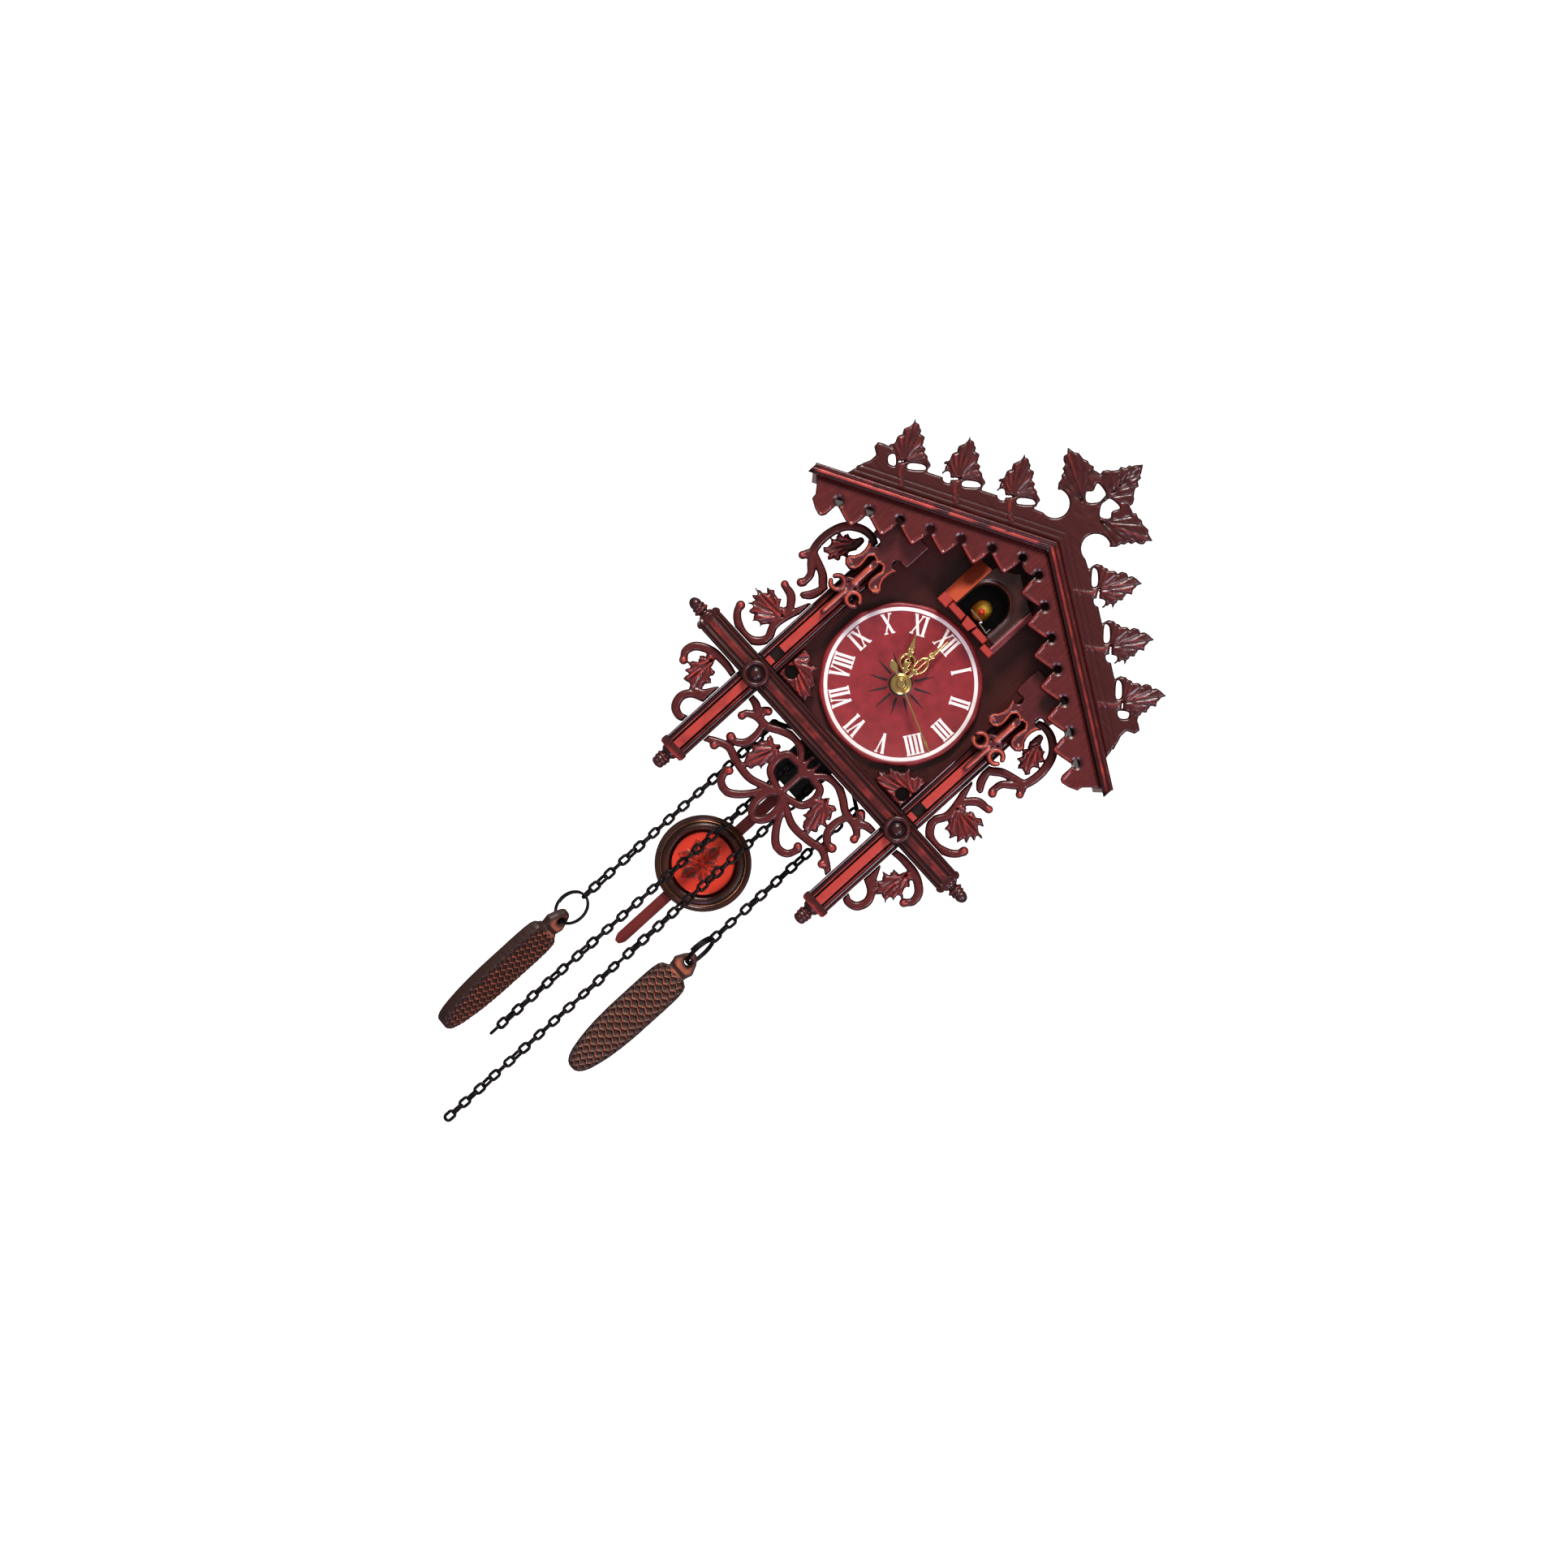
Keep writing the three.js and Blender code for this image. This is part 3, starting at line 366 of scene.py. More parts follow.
def spline(points, steps=6, closed=False):
    """Points along a smooth curve through the given ones."""
    p = [np.array(q, float) for q in points]
    count = len(p) if closed else len(p) - 1
    out = []
    for i in range(count):
        a = p[i - 1] if closed or i > 0 else 2 * p[0] - p[1]
        b, c = p[i], p[(i + 1) % len(p)]
        d = p[(i + 2) % len(p)] if closed or i + 2 < len(p) else 2 * c - b
        for k in range(steps):
            t = k / steps
            bend, twist = 2 * a - 5 * b + 4 * c - d, 3 * b - a - 3 * c + d
            out.append(0.5 * (2 * b + (c - a) * t + bend * t**2 + twist * t**3))
    if not closed:
        out.append(p[-1])
    return out


def arc(x, z, radius, start, end, steps=12):
    """Points on a circle, from one angle to another in degrees."""
    angles = [math.radians(start + (end - start) * i / steps) for i in range(steps + 1)]
    return [(x + radius * math.cos(a), z + radius * math.sin(a)) for a in angles]


def flip(points, side):
    """The points as drawn for x > 0, or mirrored when the side is -1."""
    return [(x * side, z) for x, z in points]


def mesh_object(name, vertices, faces, sharp=50, smooth=True):
    """A mesh from points in millimetres, with its normals outwards and its sharp edges marked."""
    data = bpy.data.meshes.new(name)
    data.from_pydata([tuple(c * MM for c in v) for v in vertices], [], faces)
    tidy(data, sharp, smooth)
    piece = bpy.data.objects.new(name, data)
    bpy.context.scene.collection.objects.link(piece)
    return piece


def tidy(data, sharp=50, smooth=True):
    work = bmesh.new()
    work.from_mesh(data)
    bmesh.ops.remove_doubles(work, verts=work.verts, dist=1e-6)
    bmesh.ops.recalc_face_normals(work, faces=work.faces)
    for face in work.faces:
        face.smooth = smooth
    for edge in work.edges:
        edge.smooth = edge.calc_face_angle(0) < math.radians(sharp)
    work.to_mesh(data)
    work.free()


class Carving:
    """A carved board. A field of distances gives its outline, and a height over it shapes its front."""

    def __init__(self, low, high, step=None):
        self.step = step or sizes().grid
        edge = 2 * self.step
        xs = np.arange(low[0] - edge, high[0] + edge, self.step)
        zs = np.arange(low[1] - edge, high[1] + edge, self.step)
        self.x, self.z = np.meshgrid(xs, zs, indexing="ij")
        self.field = np.full(self.x.shape, 99.0)
        self.height = np.zeros(self.x.shape)
        self.window = np.ones(self.x.shape, bool)

    def reach(self, points):
        """Distance to a line, and how far along it the nearest point is, from 0 to 1."""
        best = np.full(self.x.shape, 1e9)
        along = np.zeros(self.x.shape)
        for k, (a, b) in enumerate(zip(points, points[1:])):
            dx, dz = b[0] - a[0], b[1] - a[1]
            squared = dx * dx + dz * dz + 1e-12
            t = np.clip(((self.x - a[0]) * dx + (self.z - a[1]) * dz) / squared, 0, 1)
            distance = np.hypot(self.x - a[0] - t * dx, self.z - a[1] - t * dz)
            closer = distance < best
            best = np.where(closer, distance, best)
            along = np.where(closer, (k + t) / (len(points) - 1), along)
        return best, along

    def distance_to(self, points):
        """Signed distance to a closed outline, negative inside it."""
        loop = list(points) + [points[0]]
        distance, _ = self.reach(loop)
        inside = np.zeros(self.x.shape, bool)
        for a, b in zip(loop, loop[1:]):
            crosses = (a[1] > self.z) != (b[1] > self.z)
            inside ^= crosses & (self.x < (b[0] - a[0]) * (self.z - a[1]) / (b[1] - a[1] + 1e-12) + a[0])
        return np.where(inside, -distance, distance)

    def join(self, distance, soft=0.8):
        blend = np.clip(0.5 + 0.5 * (self.field - distance) / soft, 0, 1)
        self.field = self.field * (1 - blend) + distance * blend - soft * blend * (1 - blend)

    def bar(self, points, width, taper=0.78, curved=True):
        """A carved bar along a curve, thinner at its ends."""
        distance, along = self.reach(spline(points) if curved else points)
        half = width / 2 * (taper + (1 - taper) * np.sin(np.pi * along))
        self.join(distance - half)

    def blob(self, points, soft=0.8):
        self.join(self.distance_to(points), soft)

    def ball(self, x, z, radius):
        distance = np.hypot(self.x - x, self.z - z)
        self.join(distance - radius, 1.2)
        self.height += 0.9 * np.exp(-(distance / (radius * 0.7)) ** 2)

    def cut(self, distance):
        self.field = np.maximum(self.field, -distance)

    def pierce(self, points, steps=5):
        """Cuts an opening with a smooth outline through the board."""
        self.cut(self.distance_to(spline(points, steps, True)))

    def drill(self, x, z, radius):
        self.cut(np.hypot(self.x - x, self.z - z) - radius)

    def groove(self, points, width, depth, curved=False):
        """Cuts a line into the front, or raises one when the depth is negative."""
        distance, _ = self.reach(spline(points) if curved else points)
        self.height -= depth * np.exp(-((distance / width) ** 2))

    def leaf(self, outline, base, tips, depth=0.9, notch=0.55):
        """A carved leaf: an outline, a raised midrib field and a vein to each lobe's tip."""
        around = np.arctan2(self.z - base[1], self.x - base[0])
        away = np.hypot(self.x - base[0], self.z - base[1])
        here = self.distance_to(outline) + notch * (0.5 + 0.5 * np.sin(around * 21 + away * 1.4))
        self.join(here)
        within = np.clip(-here / 1.5, 0, 1)
        self.height += within * 0.14 * np.sin(around * 9 + away * 0.35)
        for index, tip in enumerate(tips):
            distance, along = self.reach([base, tip])
            vein = depth * (1 if index == 0 else 0.75) * within
            self.height -= vein * np.exp(-((distance / 0.55) ** 2)) * (1 - 0.5 * along)
            self.height += 0.5 * vein * np.exp(-(((distance - 1.3) / 0.7) ** 2))

    def mesh(self, name, back, front, crown=None, radius=1.7, turn=0.0, centre=(0, 0)):
        """The carving as a closed mesh: a flat back, straight walls and a crowned front."""
        crown = sizes().crown if crown is None else crown
        corner = (self.field[:-1, :-1] + self.field[1:, :-1] + self.field[:-1, 1:] + self.field[1:, 1:]) / 4
        shown = self.window
        solid = (corner < 0) & shown[:-1, :-1] & shown[1:, :-1] & shown[:-1, 1:] & shown[1:, 1:]
        solid[0, :] = solid[-1, :] = solid[:, 0] = solid[:, -1] = False
        for _ in range(3):
            a, b, c, d = solid[:-1, :-1], solid[1:, :-1], solid[:-1, 1:], solid[1:, 1:]
            b |= a & d & ~b & ~c
            a |= b & c & ~a & ~d
        gx, gz = np.gradient(self.field, self.step)
        size = np.maximum(gx**2 + gz**2, 0.25)
        touched = np.zeros(self.field.shape, int)
        for dx, dz in ((0, 0), (1, 0), (0, 1), (1, 1)):
            touched[dx:dx + solid.shape[0], dz:dz + solid.shape[1]] += solid
        rim = (touched > 0) & (touched < 4) & (self.field > -1.5 * self.step)
        move = np.where(rim, np.clip(self.field, -0.75 * self.step, 0.75 * self.step), 0)
        px, pz = self.x - move * gx / size, self.z - move * gz / size
        depth = np.where(rim, 0, np.clip(-self.field / radius, 0, 1))
        profile = np.sqrt(1 - (1 - depth) ** 2)
        y = front + crown * (1 - profile) - np.clip(self.height, -1.6, 1.6) * profile
        y = np.minimum(y, back - 0.4)
        # The finish reads this lift: low at the outline and in the grooves, painted shade, and high on raised
        # parts, a painted highlight.
        lift = np.clip(0.14 + 0.5 * profile + 0.42 * self.height * profile, 0, 1)
        return self.shell(name, solid, px, y, pz, back, lift, turn, centre)

    def shell(self, name, solid, px, y, pz, back, lift, turn, centre):
        columns = self.x.shape[1]
        number = -np.ones(self.x.size, int)
        i, j = np.nonzero(solid)
        first = i * columns + j
        quads = np.stack([first, first + columns, first + columns + 1, first + 1], 1)
        used = np.unique(quads)
        number[used] = np.arange(len(used))
        quads = number[quads]
        angle = math.radians(turn)
        dx, dz = px.ravel()[used] - centre[0], pz.ravel()[used] - centre[1]
        x = centre[0] + dx * math.cos(angle) + dz * math.sin(angle)
        z = centre[1] - dx * math.sin(angle) + dz * math.cos(angle)
        front = np.stack([x, y.ravel()[used], z], 1)
        rear = np.stack([x, np.full(len(used), back), z], 1)
        edges = np.concatenate([quads[:, [k, (k + 1) % 4]] for k in range(4)])
        keys = {(a, b) for a, b in edges.tolist()}
        walls = [(a, b, b + len(used), a + len(used)) for a, b in keys if (b, a) not in keys]
        faces = quads.tolist() + (quads[:, ::-1] + len(used)).tolist() + walls
        data = bpy.data.meshes.new(name)
        data.from_pydata((np.concatenate([front, rear]) * MM).tolist(), [], faces)
        tidy(data)
        marks = data.attributes.new("lift", "FLOAT", "POINT")
        # The back and the rear of the walls get a low lift: painted shade, darker towards the back.
        wear_and_painted_light = np.concatenate([lift.ravel()[used], np.full(len(used), 0.1)])
        marks.data.foreach_set("value", wear_and_painted_light.astype(np.float32))
        piece = bpy.data.objects.new(name, data)
        bpy.context.scene.collection.objects.link(piece)
        return piece


def loft(rows, count, closed=False, start=0):
    """The faces between rows of points, each row a ring of that many points."""
    faces = []
    for row in range(rows if closed else rows - 1):
        a, b = start + row * count, start + (row + 1) % rows * count
        faces += [(a + k, a + (k + 1) % count, b + (k + 1) % count, b + k) for k in range(count)]
    return faces


def caps(rows, count):
    """The faces over the first and the last row of points."""
    return [tuple(range(count)), tuple(range((rows - 1) * count, rows * count))]


def loft_between(name, first, last, sharp=30):
    """A solid between two outlines of as many points."""
    faces = caps(2, len(first)) + loft(2, len(first))
    return mesh_object(name, [*first, *last], faces, sharp, smooth=False)


def lathe(name, profile, origin, axis="front", steps=64, smooth=0, closed=False, sharp=40):
    """A turned piece. Its profile is radius and height along the axis, to the front, up or right."""
    if smooth:
        profile = [tuple(p) for p in spline(profile, smooth)]
    frames = {
        "front": lambda r, h, c, s: (origin[0] + r * c, origin[1] - h, origin[2] + r * s),
        "up": lambda r, h, c, s: (origin[0] + r * c, origin[1] + r * s, origin[2] + h),
        "right": lambda r, h, c, s: (origin[0] + h, origin[1] + r * c, origin[2] + r * s),
    }
    turns = [(math.cos(2 * math.pi * k / steps), math.sin(2 * math.pi * k / steps)) for k in range(steps)]
    vertices = [frames[axis](r, h, c, s) for r, h in profile for c, s in turns]
    return mesh_object(name, vertices, loft(len(profile), steps, closed), sharp)


def prism(name, section, origin, across, up, along, bevel=0.25, sharp=40):
    """A straight moulding: a section drawn across and up, pushed along, with its edges eased."""
    origin, across, up, along = (np.array(v, float) for v in (origin, across, up, along))
    ring = [origin + across * u + up * v for u, v in section]
    return ease(loft_between(name, ring, [p + along for p in ring], sharp), bevel)


def ease(piece, width, segments=2):
    """Rounds the hard edges a little."""
    if width:
        rounding = piece.modifiers.new("Eased edges", "BEVEL")
        rounding.width = width * MM
        rounding.segments = segments
        rounding.limit_method = "ANGLE"
        rounding.angle_limit = math.radians(35)
        rounding.harden_normals = True
    return piece


def rod(name, points, radius, facets, steps):
    """A round bar along a curve through points in space."""
    path = spline(points, steps)
    vertices = []
    normal = None
    count = len(path)
    for k, point in enumerate(path):
        ahead = path[k + 1] if k + 1 < count else point
        behind = path[k - 1] if k else point
        direction = Vector(ahead - behind).normalized()
        if normal is None:
            normal = direction.orthogonal().normalized()
        normal = (normal - direction * normal.dot(direction)).normalized()
        side = direction.cross(normal)
        for f in range(facets):
            a = 2 * math.pi * f / facets
            spoke = normal * radius * math.cos(a) + side * radius * math.sin(a)
            vertices.append(Vector(point) + spoke)
    return mesh_object(name, vertices, loft(count, facets) + caps(count, facets), 60)


def join_pieces(name, pieces):
    """Several meshes as one piece."""
    work = bmesh.new()
    for piece in pieces:
        work.from_mesh(piece.data)
    data = bpy.data.meshes.new(name)
    work.to_mesh(data)
    work.free()
    for piece in pieces:
        bpy.data.objects.remove(piece)
    made = bpy.data.objects.new(name, data)
    bpy.context.scene.collection.objects.link(made)
    return made


def mark(piece, lift):
    """Stores each point's lift, from 0 in a hollow, painted dark with stain and shade, to 1 on a ridge,
    painted bright with wearing and a highlight.
    """
    marks = piece.data.attributes.get("lift") or piece.data.attributes.new("lift", "FLOAT", "POINT")
    for vertex in piece.data.vertices:
        marks.data[vertex.index].value = lift(*(vertex.co / MM))
    return piece


def steps_of(stops, place):
    """A value read off a row of (place, value) stops."""
    return float(np.interp(place, [stop[0] for stop in stops], [stop[1] for stop in stops]))


def install(piece, body, slot, finish, *nodes):
    """Paints a piece, fixes it to its body and lets it stand for frame nodes."""
    piece.data.materials.clear()
    piece.data.materials.append(paint(finish))
    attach(piece, body)
    if nodes:
        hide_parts(*nodes)
    return piece


def keep(node, finish, bevel=0.4):
    """Keeps a frame node, eases its edges and gives it its finish."""
    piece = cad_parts[node]
    piece.data.materials.clear()
    piece.data.materials.append(paint(finish))
    return ease(piece, bevel)


# ---- Stage and chains --------------------------------------------------------------------------------------

CENTRE = (-2.5, -85.4)  # where the camera looks, across and up
VIEW_WIDTH = 872.0
VIEW_DISTANCE = 3.0
VIEW_TURN = 47.8
DIAL_FACE = -0.068
SENSOR = 36
LIGHT_AIM = (0, -0.05, -0.04)
LIGHTS = {
    "key": ((-0.95, -1.25, 1.0), 0.45, 36, (1.0, 0.93, 0.88)),
    "fill": ((1.3, -1.3, 0.1), 0.6, 17, (0.96, 0.84, 1.0)),
    "low": ((0.9, -0.9, -1.0), 0.4, 6, (0.80, 0.62, 1.0)),
}
ROOM_HALF, ROOM_NEAR, ROOM_FAR, ROOM_FLOOR, ROOM_TOP = 9, -4, 3.4, -2.4, 6


def area_light(name, place, size, power, colour):
    data = bpy.data.lights.new(name, "AREA")
    data.size = size
    data.energy = power
    data.color = colour
    lamp = bpy.data.objects.new(name, data)
    lamp.location = place
    lamp.rotation_euler = (Vector(LIGHT_AIM) - Vector(place)).to_track_quat("-Z", "Y").to_euler()
    bpy.context.scene.collection.objects.link(lamp)


class CLOCK_OT_stage(bpy.types.Operator):
    """Adds the camera, the studio lights, the floor and the backdrop"""

    bl_idname = "clock.stage"
    bl_label = "Stage"

    def execute(self, context):
        scene = context.scene
        data = bpy.data.cameras.new("camera")
        data.sensor_width = SENSOR
        data.lens = SENSOR * VIEW_DISTANCE / (VIEW_WIDTH * MM)
        camera = bpy.data.objects.new("camera", data)
        camera.location = (CENTRE[0] * MM, DIAL_FACE - VIEW_DISTANCE, CENTRE[1] * MM)
        turned = Matrix.Rotation(math.radians(90), 4, "X") @ Matrix.Rotation(math.radians(VIEW_TURN), 4, "Z")
        camera.rotation_euler = turned.to_euler()
        scene.collection.objects.link(camera)
        scene.camera = camera
        scene.view_settings.view_transform = "Standard"
        world = bpy.data.worlds.new("studio")
        world.use_nodes = True
        background = world.node_tree.nodes["Background"]
        background.inputs["Color"].default_value = (1.0, 0.97, 0.96, 1)
        background.inputs["Strength"].default_value = 0.3
        scene.world = world
        for name, (place, size, power, colour) in LIGHTS.items():
            area_light(name, place, size, power, colour)
        far = [(x, ROOM_FAR, ROOM_FLOOR) for x in (-ROOM_HALF, ROOM_HALF)]
        top = [(x, ROOM_FAR, ROOM_TOP) for x in (ROOM_HALF, -ROOM_HALF)]
        near = [(x, ROOM_NEAR, ROOM_FLOOR) for x in (-ROOM_HALF, ROOM_HALF)]
        self.sheet("backdrop", far + top)
        self.sheet("floor", near + far[::-1])
        return {"FINISHED"}

    @staticmethod
    def sheet(name, corners):
        data = bpy.data.meshes.new(name)
        data.from_pydata(corners, [], [(0, 1, 2, 3)])
        piece = bpy.data.objects.new(name, data)
        bpy.context.scene.collection.objects.link(piece)
        data.materials.append(glow(f"pale_{name}", (1.0, 1.0, 1.0), 1.0))
        piece.visible_diffuse = piece.visible_glossy = False


STRANDS = {
    "outer_left": [(-31, -64), (-31, -208.7)],
    "inner_left": [(-7, -52), (-8.4, -180), (-9.3, -301)],
    "inner_right": [(9, -52), (9.4, -352)],
    "outer_right": [(35, -64), (35, -171.8)],
}
CHAIN_Y = -55.6
CHAIN_WIDE = 5.7
WIRE_FACETS = 8
HOOK_REACH = 3.2  # how far an outer strand's last link reaches into its split ring
RINGS = {"left": ((-31, CHAIN_Y, -219.6), 10, -20), "right": ((35, CHAIN_Y, -182.6), 9.9, 74)}
CONE_TURNS = {"left": 52, "right": 0}


def route(points):
    """Evenly spaced points down a strand, in millimetres."""
    line = [Vector((x, CHAIN_Y, z)) for x, z in points]
    if len(line) == 2:
        dense = [line[0].lerp(line[1], k / 200) for k in range(201)]
    else:
        dense = [Vector((x, CHAIN_Y, z)) for x, z in spline(points, 100)]
    travelled = [0.0]
    for a, b in zip(dense, dense[1:]):
        travelled.append(travelled[-1] + (b - a).length)
    return dense, travelled


def at(dense, travelled, distance):
    k = min(int(np.searchsorted(travelled, distance)), len(dense) - 1)
    k = max(k, 1)
    part = (distance - travelled[k - 1]) / max(travelled[k] - travelled[k - 1], 1e-9)
    return dense[k - 1].lerp(dense[k], part)


def chain_links(name, points, twists):
    """Oval links of bent wire down a strand, each turned from its neighbour."""
    size = sizes()
    dense, travelled = route(points)
    total = travelled[-1]
    pitch = (total - size.link_long) / round((total - size.link_long) / size.link_pitch)
    count = round((total - size.link_long) / pitch) + 1
    wire, half_long = size.link_wire / 2, size.link_long / 2 - size.link_wire / 2
    half_wide = CHAIN_WIDE / 2 - wire
    straight = half_long - half_wide
    vertices, faces = [], []
    angles = np.linspace(0, math.pi, 13)
    oval = [(half_wide * math.cos(a), straight + half_wide * math.sin(a)) for a in angles]
    oval += [(-x, -z) for x, z in oval]
    for k in range(count):
        centre = at(dense, travelled, size.link_long / 2 + k * pitch)
        turn = math.radians((90 * k + twists[k % len(twists)]) % 180)
        lean = math.radians(3.0 * math.sin(k * 2.3))
        start = len(vertices)
        for i, (x, z) in enumerate(oval):
            before, after = oval[i - 1], oval[(i + 1) % len(oval)]
            tangent = Vector((after[0] - before[0], 0, after[1] - before[1])).normalized()
            across = Vector((0, 1, 0))
            outward = tangent.cross(across)
            for f in range(WIRE_FACETS):
                a = 2 * math.pi * f / WIRE_FACETS
                p = Vector((x, 0, z)) + outward * wire * math.cos(a) + across * wire * math.sin(a)
                p = Matrix.Rotation(turn, 3, "Z") @ Matrix.Rotation(lean, 3, "Y") @ p
                vertices.append(centre + p)
        faces += loft(len(oval), WIRE_FACETS, True, start)
    return mesh_object(name, vertices, faces, 80)


def split_ring(name, centre, radius, turn):
    """Two and a quarter turns of wire side by side. A ring that faces the front is a little narrow."""
    steps_per_turn, steps, spread, first = 40, 90, 2.6, 1.9
    cx, cy, cz = centre
    along = (math.cos(math.radians(turn)), math.sin(math.radians(turn)))
    squeeze = 0.82 if turn < 45 else 1.0
    points = []
    for k in range(steps + 1):
        a = 2 * math.pi * (k / steps_per_turn) + first
        shift = (k / steps - 0.5) * spread
        x = radius * squeeze * math.cos(a)
        points.append((cx + x * along[0] - shift * along[1], cy + x * along[1] + shift * along[0],
                       cz + radius * math.sin(a)))
    return rod(name, points, 0.75, 10, 2)


def pine_cone(name, middle, top, turn):
    """A cone sawn from thick board: rows of pointed scales on its front, dark sides and a drilled head."""
    length_, rows = 94.0, 25
    c = Carving((-11.8, -length_ - 0.2), (11.8, 0.2), 0.3)
    half = [(0, 0), (2.5, -1.2), (5, -4.5), (7.4, -9.5), (6.6, -12), (6.0, -15.0), (9.5, -17), (10.7, -19.5),
            (11.3, -24), (11.5, -31), (11.4, -56), (10.9, -66), (10.1, -74), (8.9, -81), (7.6, -86.5),
            (6, -90.3), (4.2, -92.6), (2.2, -93.8), (0, -94)]
    outline = half + [(-x, z) for x, z in reversed(half[1:-1])]
    c.field = c.distance_to(outline)
    pitch = (length_ - 16.5) / rows
    wide = 11.5 * np.interp(-c.z, [14, 25, 45, 72, 94], [0.75, 0.95, 1.0, 0.9, 0.55])
    angle = np.arcsin(np.clip(c.x / wide, -0.999, 0.999)) / (math.pi / 2)
    row = (-c.z - 16.0) / pitch - 0.35 * (1 - angle**2)
    lift = np.full(c.x.shape, -1.3)
    for shift in (0, 1):
        k = np.floor(row) - shift
        drop = row - k
        across = (angle * 3.0 + 0.5 * (k % 2)) % 1.0
        tip = 0.85 + 0.6 * (1 - np.abs(2 * across - 1))
        inside = np.clip(drop / tip, 0, 1.2)
        scale = np.where(inside < 1, -1.1 + 1.5 * inside**2, -1.4)
        lift = np.maximum(lift, scale)
    head = np.clip((c.z + 17.0) / 1.5, 0, 1)
    c.height = lift * (1 - head) + 0.15 * head
    c.groove([(-7, -13.6), (7, -13.6)], 1.1, 0.8)
    c.drill(0, -6.3, 1.9)
    piece = c.mesh(name, 3.6, -4.0, crown=1.5, radius=4.5)
    angle = math.radians(turn)
    for vertex in piece.data.vertices:
        x, y, z = vertex.co / MM
        if z > -14.2:
            y *= 0.62
        vertex.co = Vector((middle[0] + x * math.cos(angle) - y * math.sin(angle),
                            middle[1] + x * math.sin(angle) + y * math.cos(angle), top + z)) * MM
    return piece


class CLOCK_OT_chains(bpy.types.Operator):
    """Makes the four strands of chain, their split rings and the pine-cone weights"""

    bl_idname = "clock.chains"
    bl_label = "Chains and weights"

    def execute(self, context):
        twists = [12, -20, 8, 28, -10, 0, -32, 18, 5, -15, 38, -6, 22]
        for index, (strand, points) in enumerate(STRANDS.items()):
            hooked = points
            if strand.startswith("outer"):
                hooked = points[:-1] + [(points[-1][0], points[-1][1] - HOOK_REACH)]
            links = chain_links(f"links_{strand}", hooked, twists[index:] + twists[:index])
            install(links, f"strand_{strand}", "black_metal", "black_metal", f"chain_{strand}")
            dense, travelled = route(points)
            total = travelled[-1]
            path = [tuple(at(dense, travelled, total * k / 30) * MM) for k in range(31)]
            extras, end = [], "bare"
            if strand.startswith("outer"):
                side = strand[6:]
                extras, end = self.weight(side), "fitting"
            total * MM
        for side in SIDES:
            keep(f"chain_hook_{side}", "black_metal", 0.15)
        return {"FINISHED"}

    @staticmethod
    def weight(side):
        centre, radius, turn = RINGS[side]
        wire = split_ring(f"wire_ring_{side}", centre, radius, turn)
        install(wire, f"strand_outer_{side}", "black_metal", "black_metal", f"split_ring_{side}")
        low, high = span(f"pine_cone_{side}")
        cone = pine_cone(f"cone_{side}", centre, high[2], CONE_TURNS[side])
        install(cone, f"weight_{side}", "cone_brown", "cone_scales", f"pine_cone_{side}")
        return [wire, cone]


# ---- Case, roof and crest ----------------------------------------------------------------------------------

RIDGE = 115.8
HALF_SPAN = 122.0
SLOPE_TAN = math.tan(SLOPE)


def roof_z(x, below=0.0):
    """The roof's top line over a place across it, or a line that far below it."""
    return RIDGE - abs(x) * SLOPE_TAN - below / math.cos(SLOPE)


class CLOCK_OT_case(bpy.types.Operator):
    """Finishes the boards of the case, its door, the hanger plate and the works"""

    bl_idname = "clock.case"
    bl_label = "Case"

    def execute(self, context):
        for node in ("back_panel", "rear_door", "floor_board"):
            keep(node, "plywood", 0.3)
        for node in ("side_left", "side_right"):
            keep(node, "red_wood_z", 0.4)
        keep("front_board", "dark_wood", 0.3)
        keep("hanger_plate", "steel", 0.3)
        keep("movement_case", "black_plastic", 0.8)
        keep("battery", "battery_jacket", 0.4)
        keep("shaft_bush", "gold", 0.2)
        keep("time_set_knob", "black_plastic", 0.4)
        keep("bird_box", "dark_wood", 0.3)
        return {"FINISHED"}


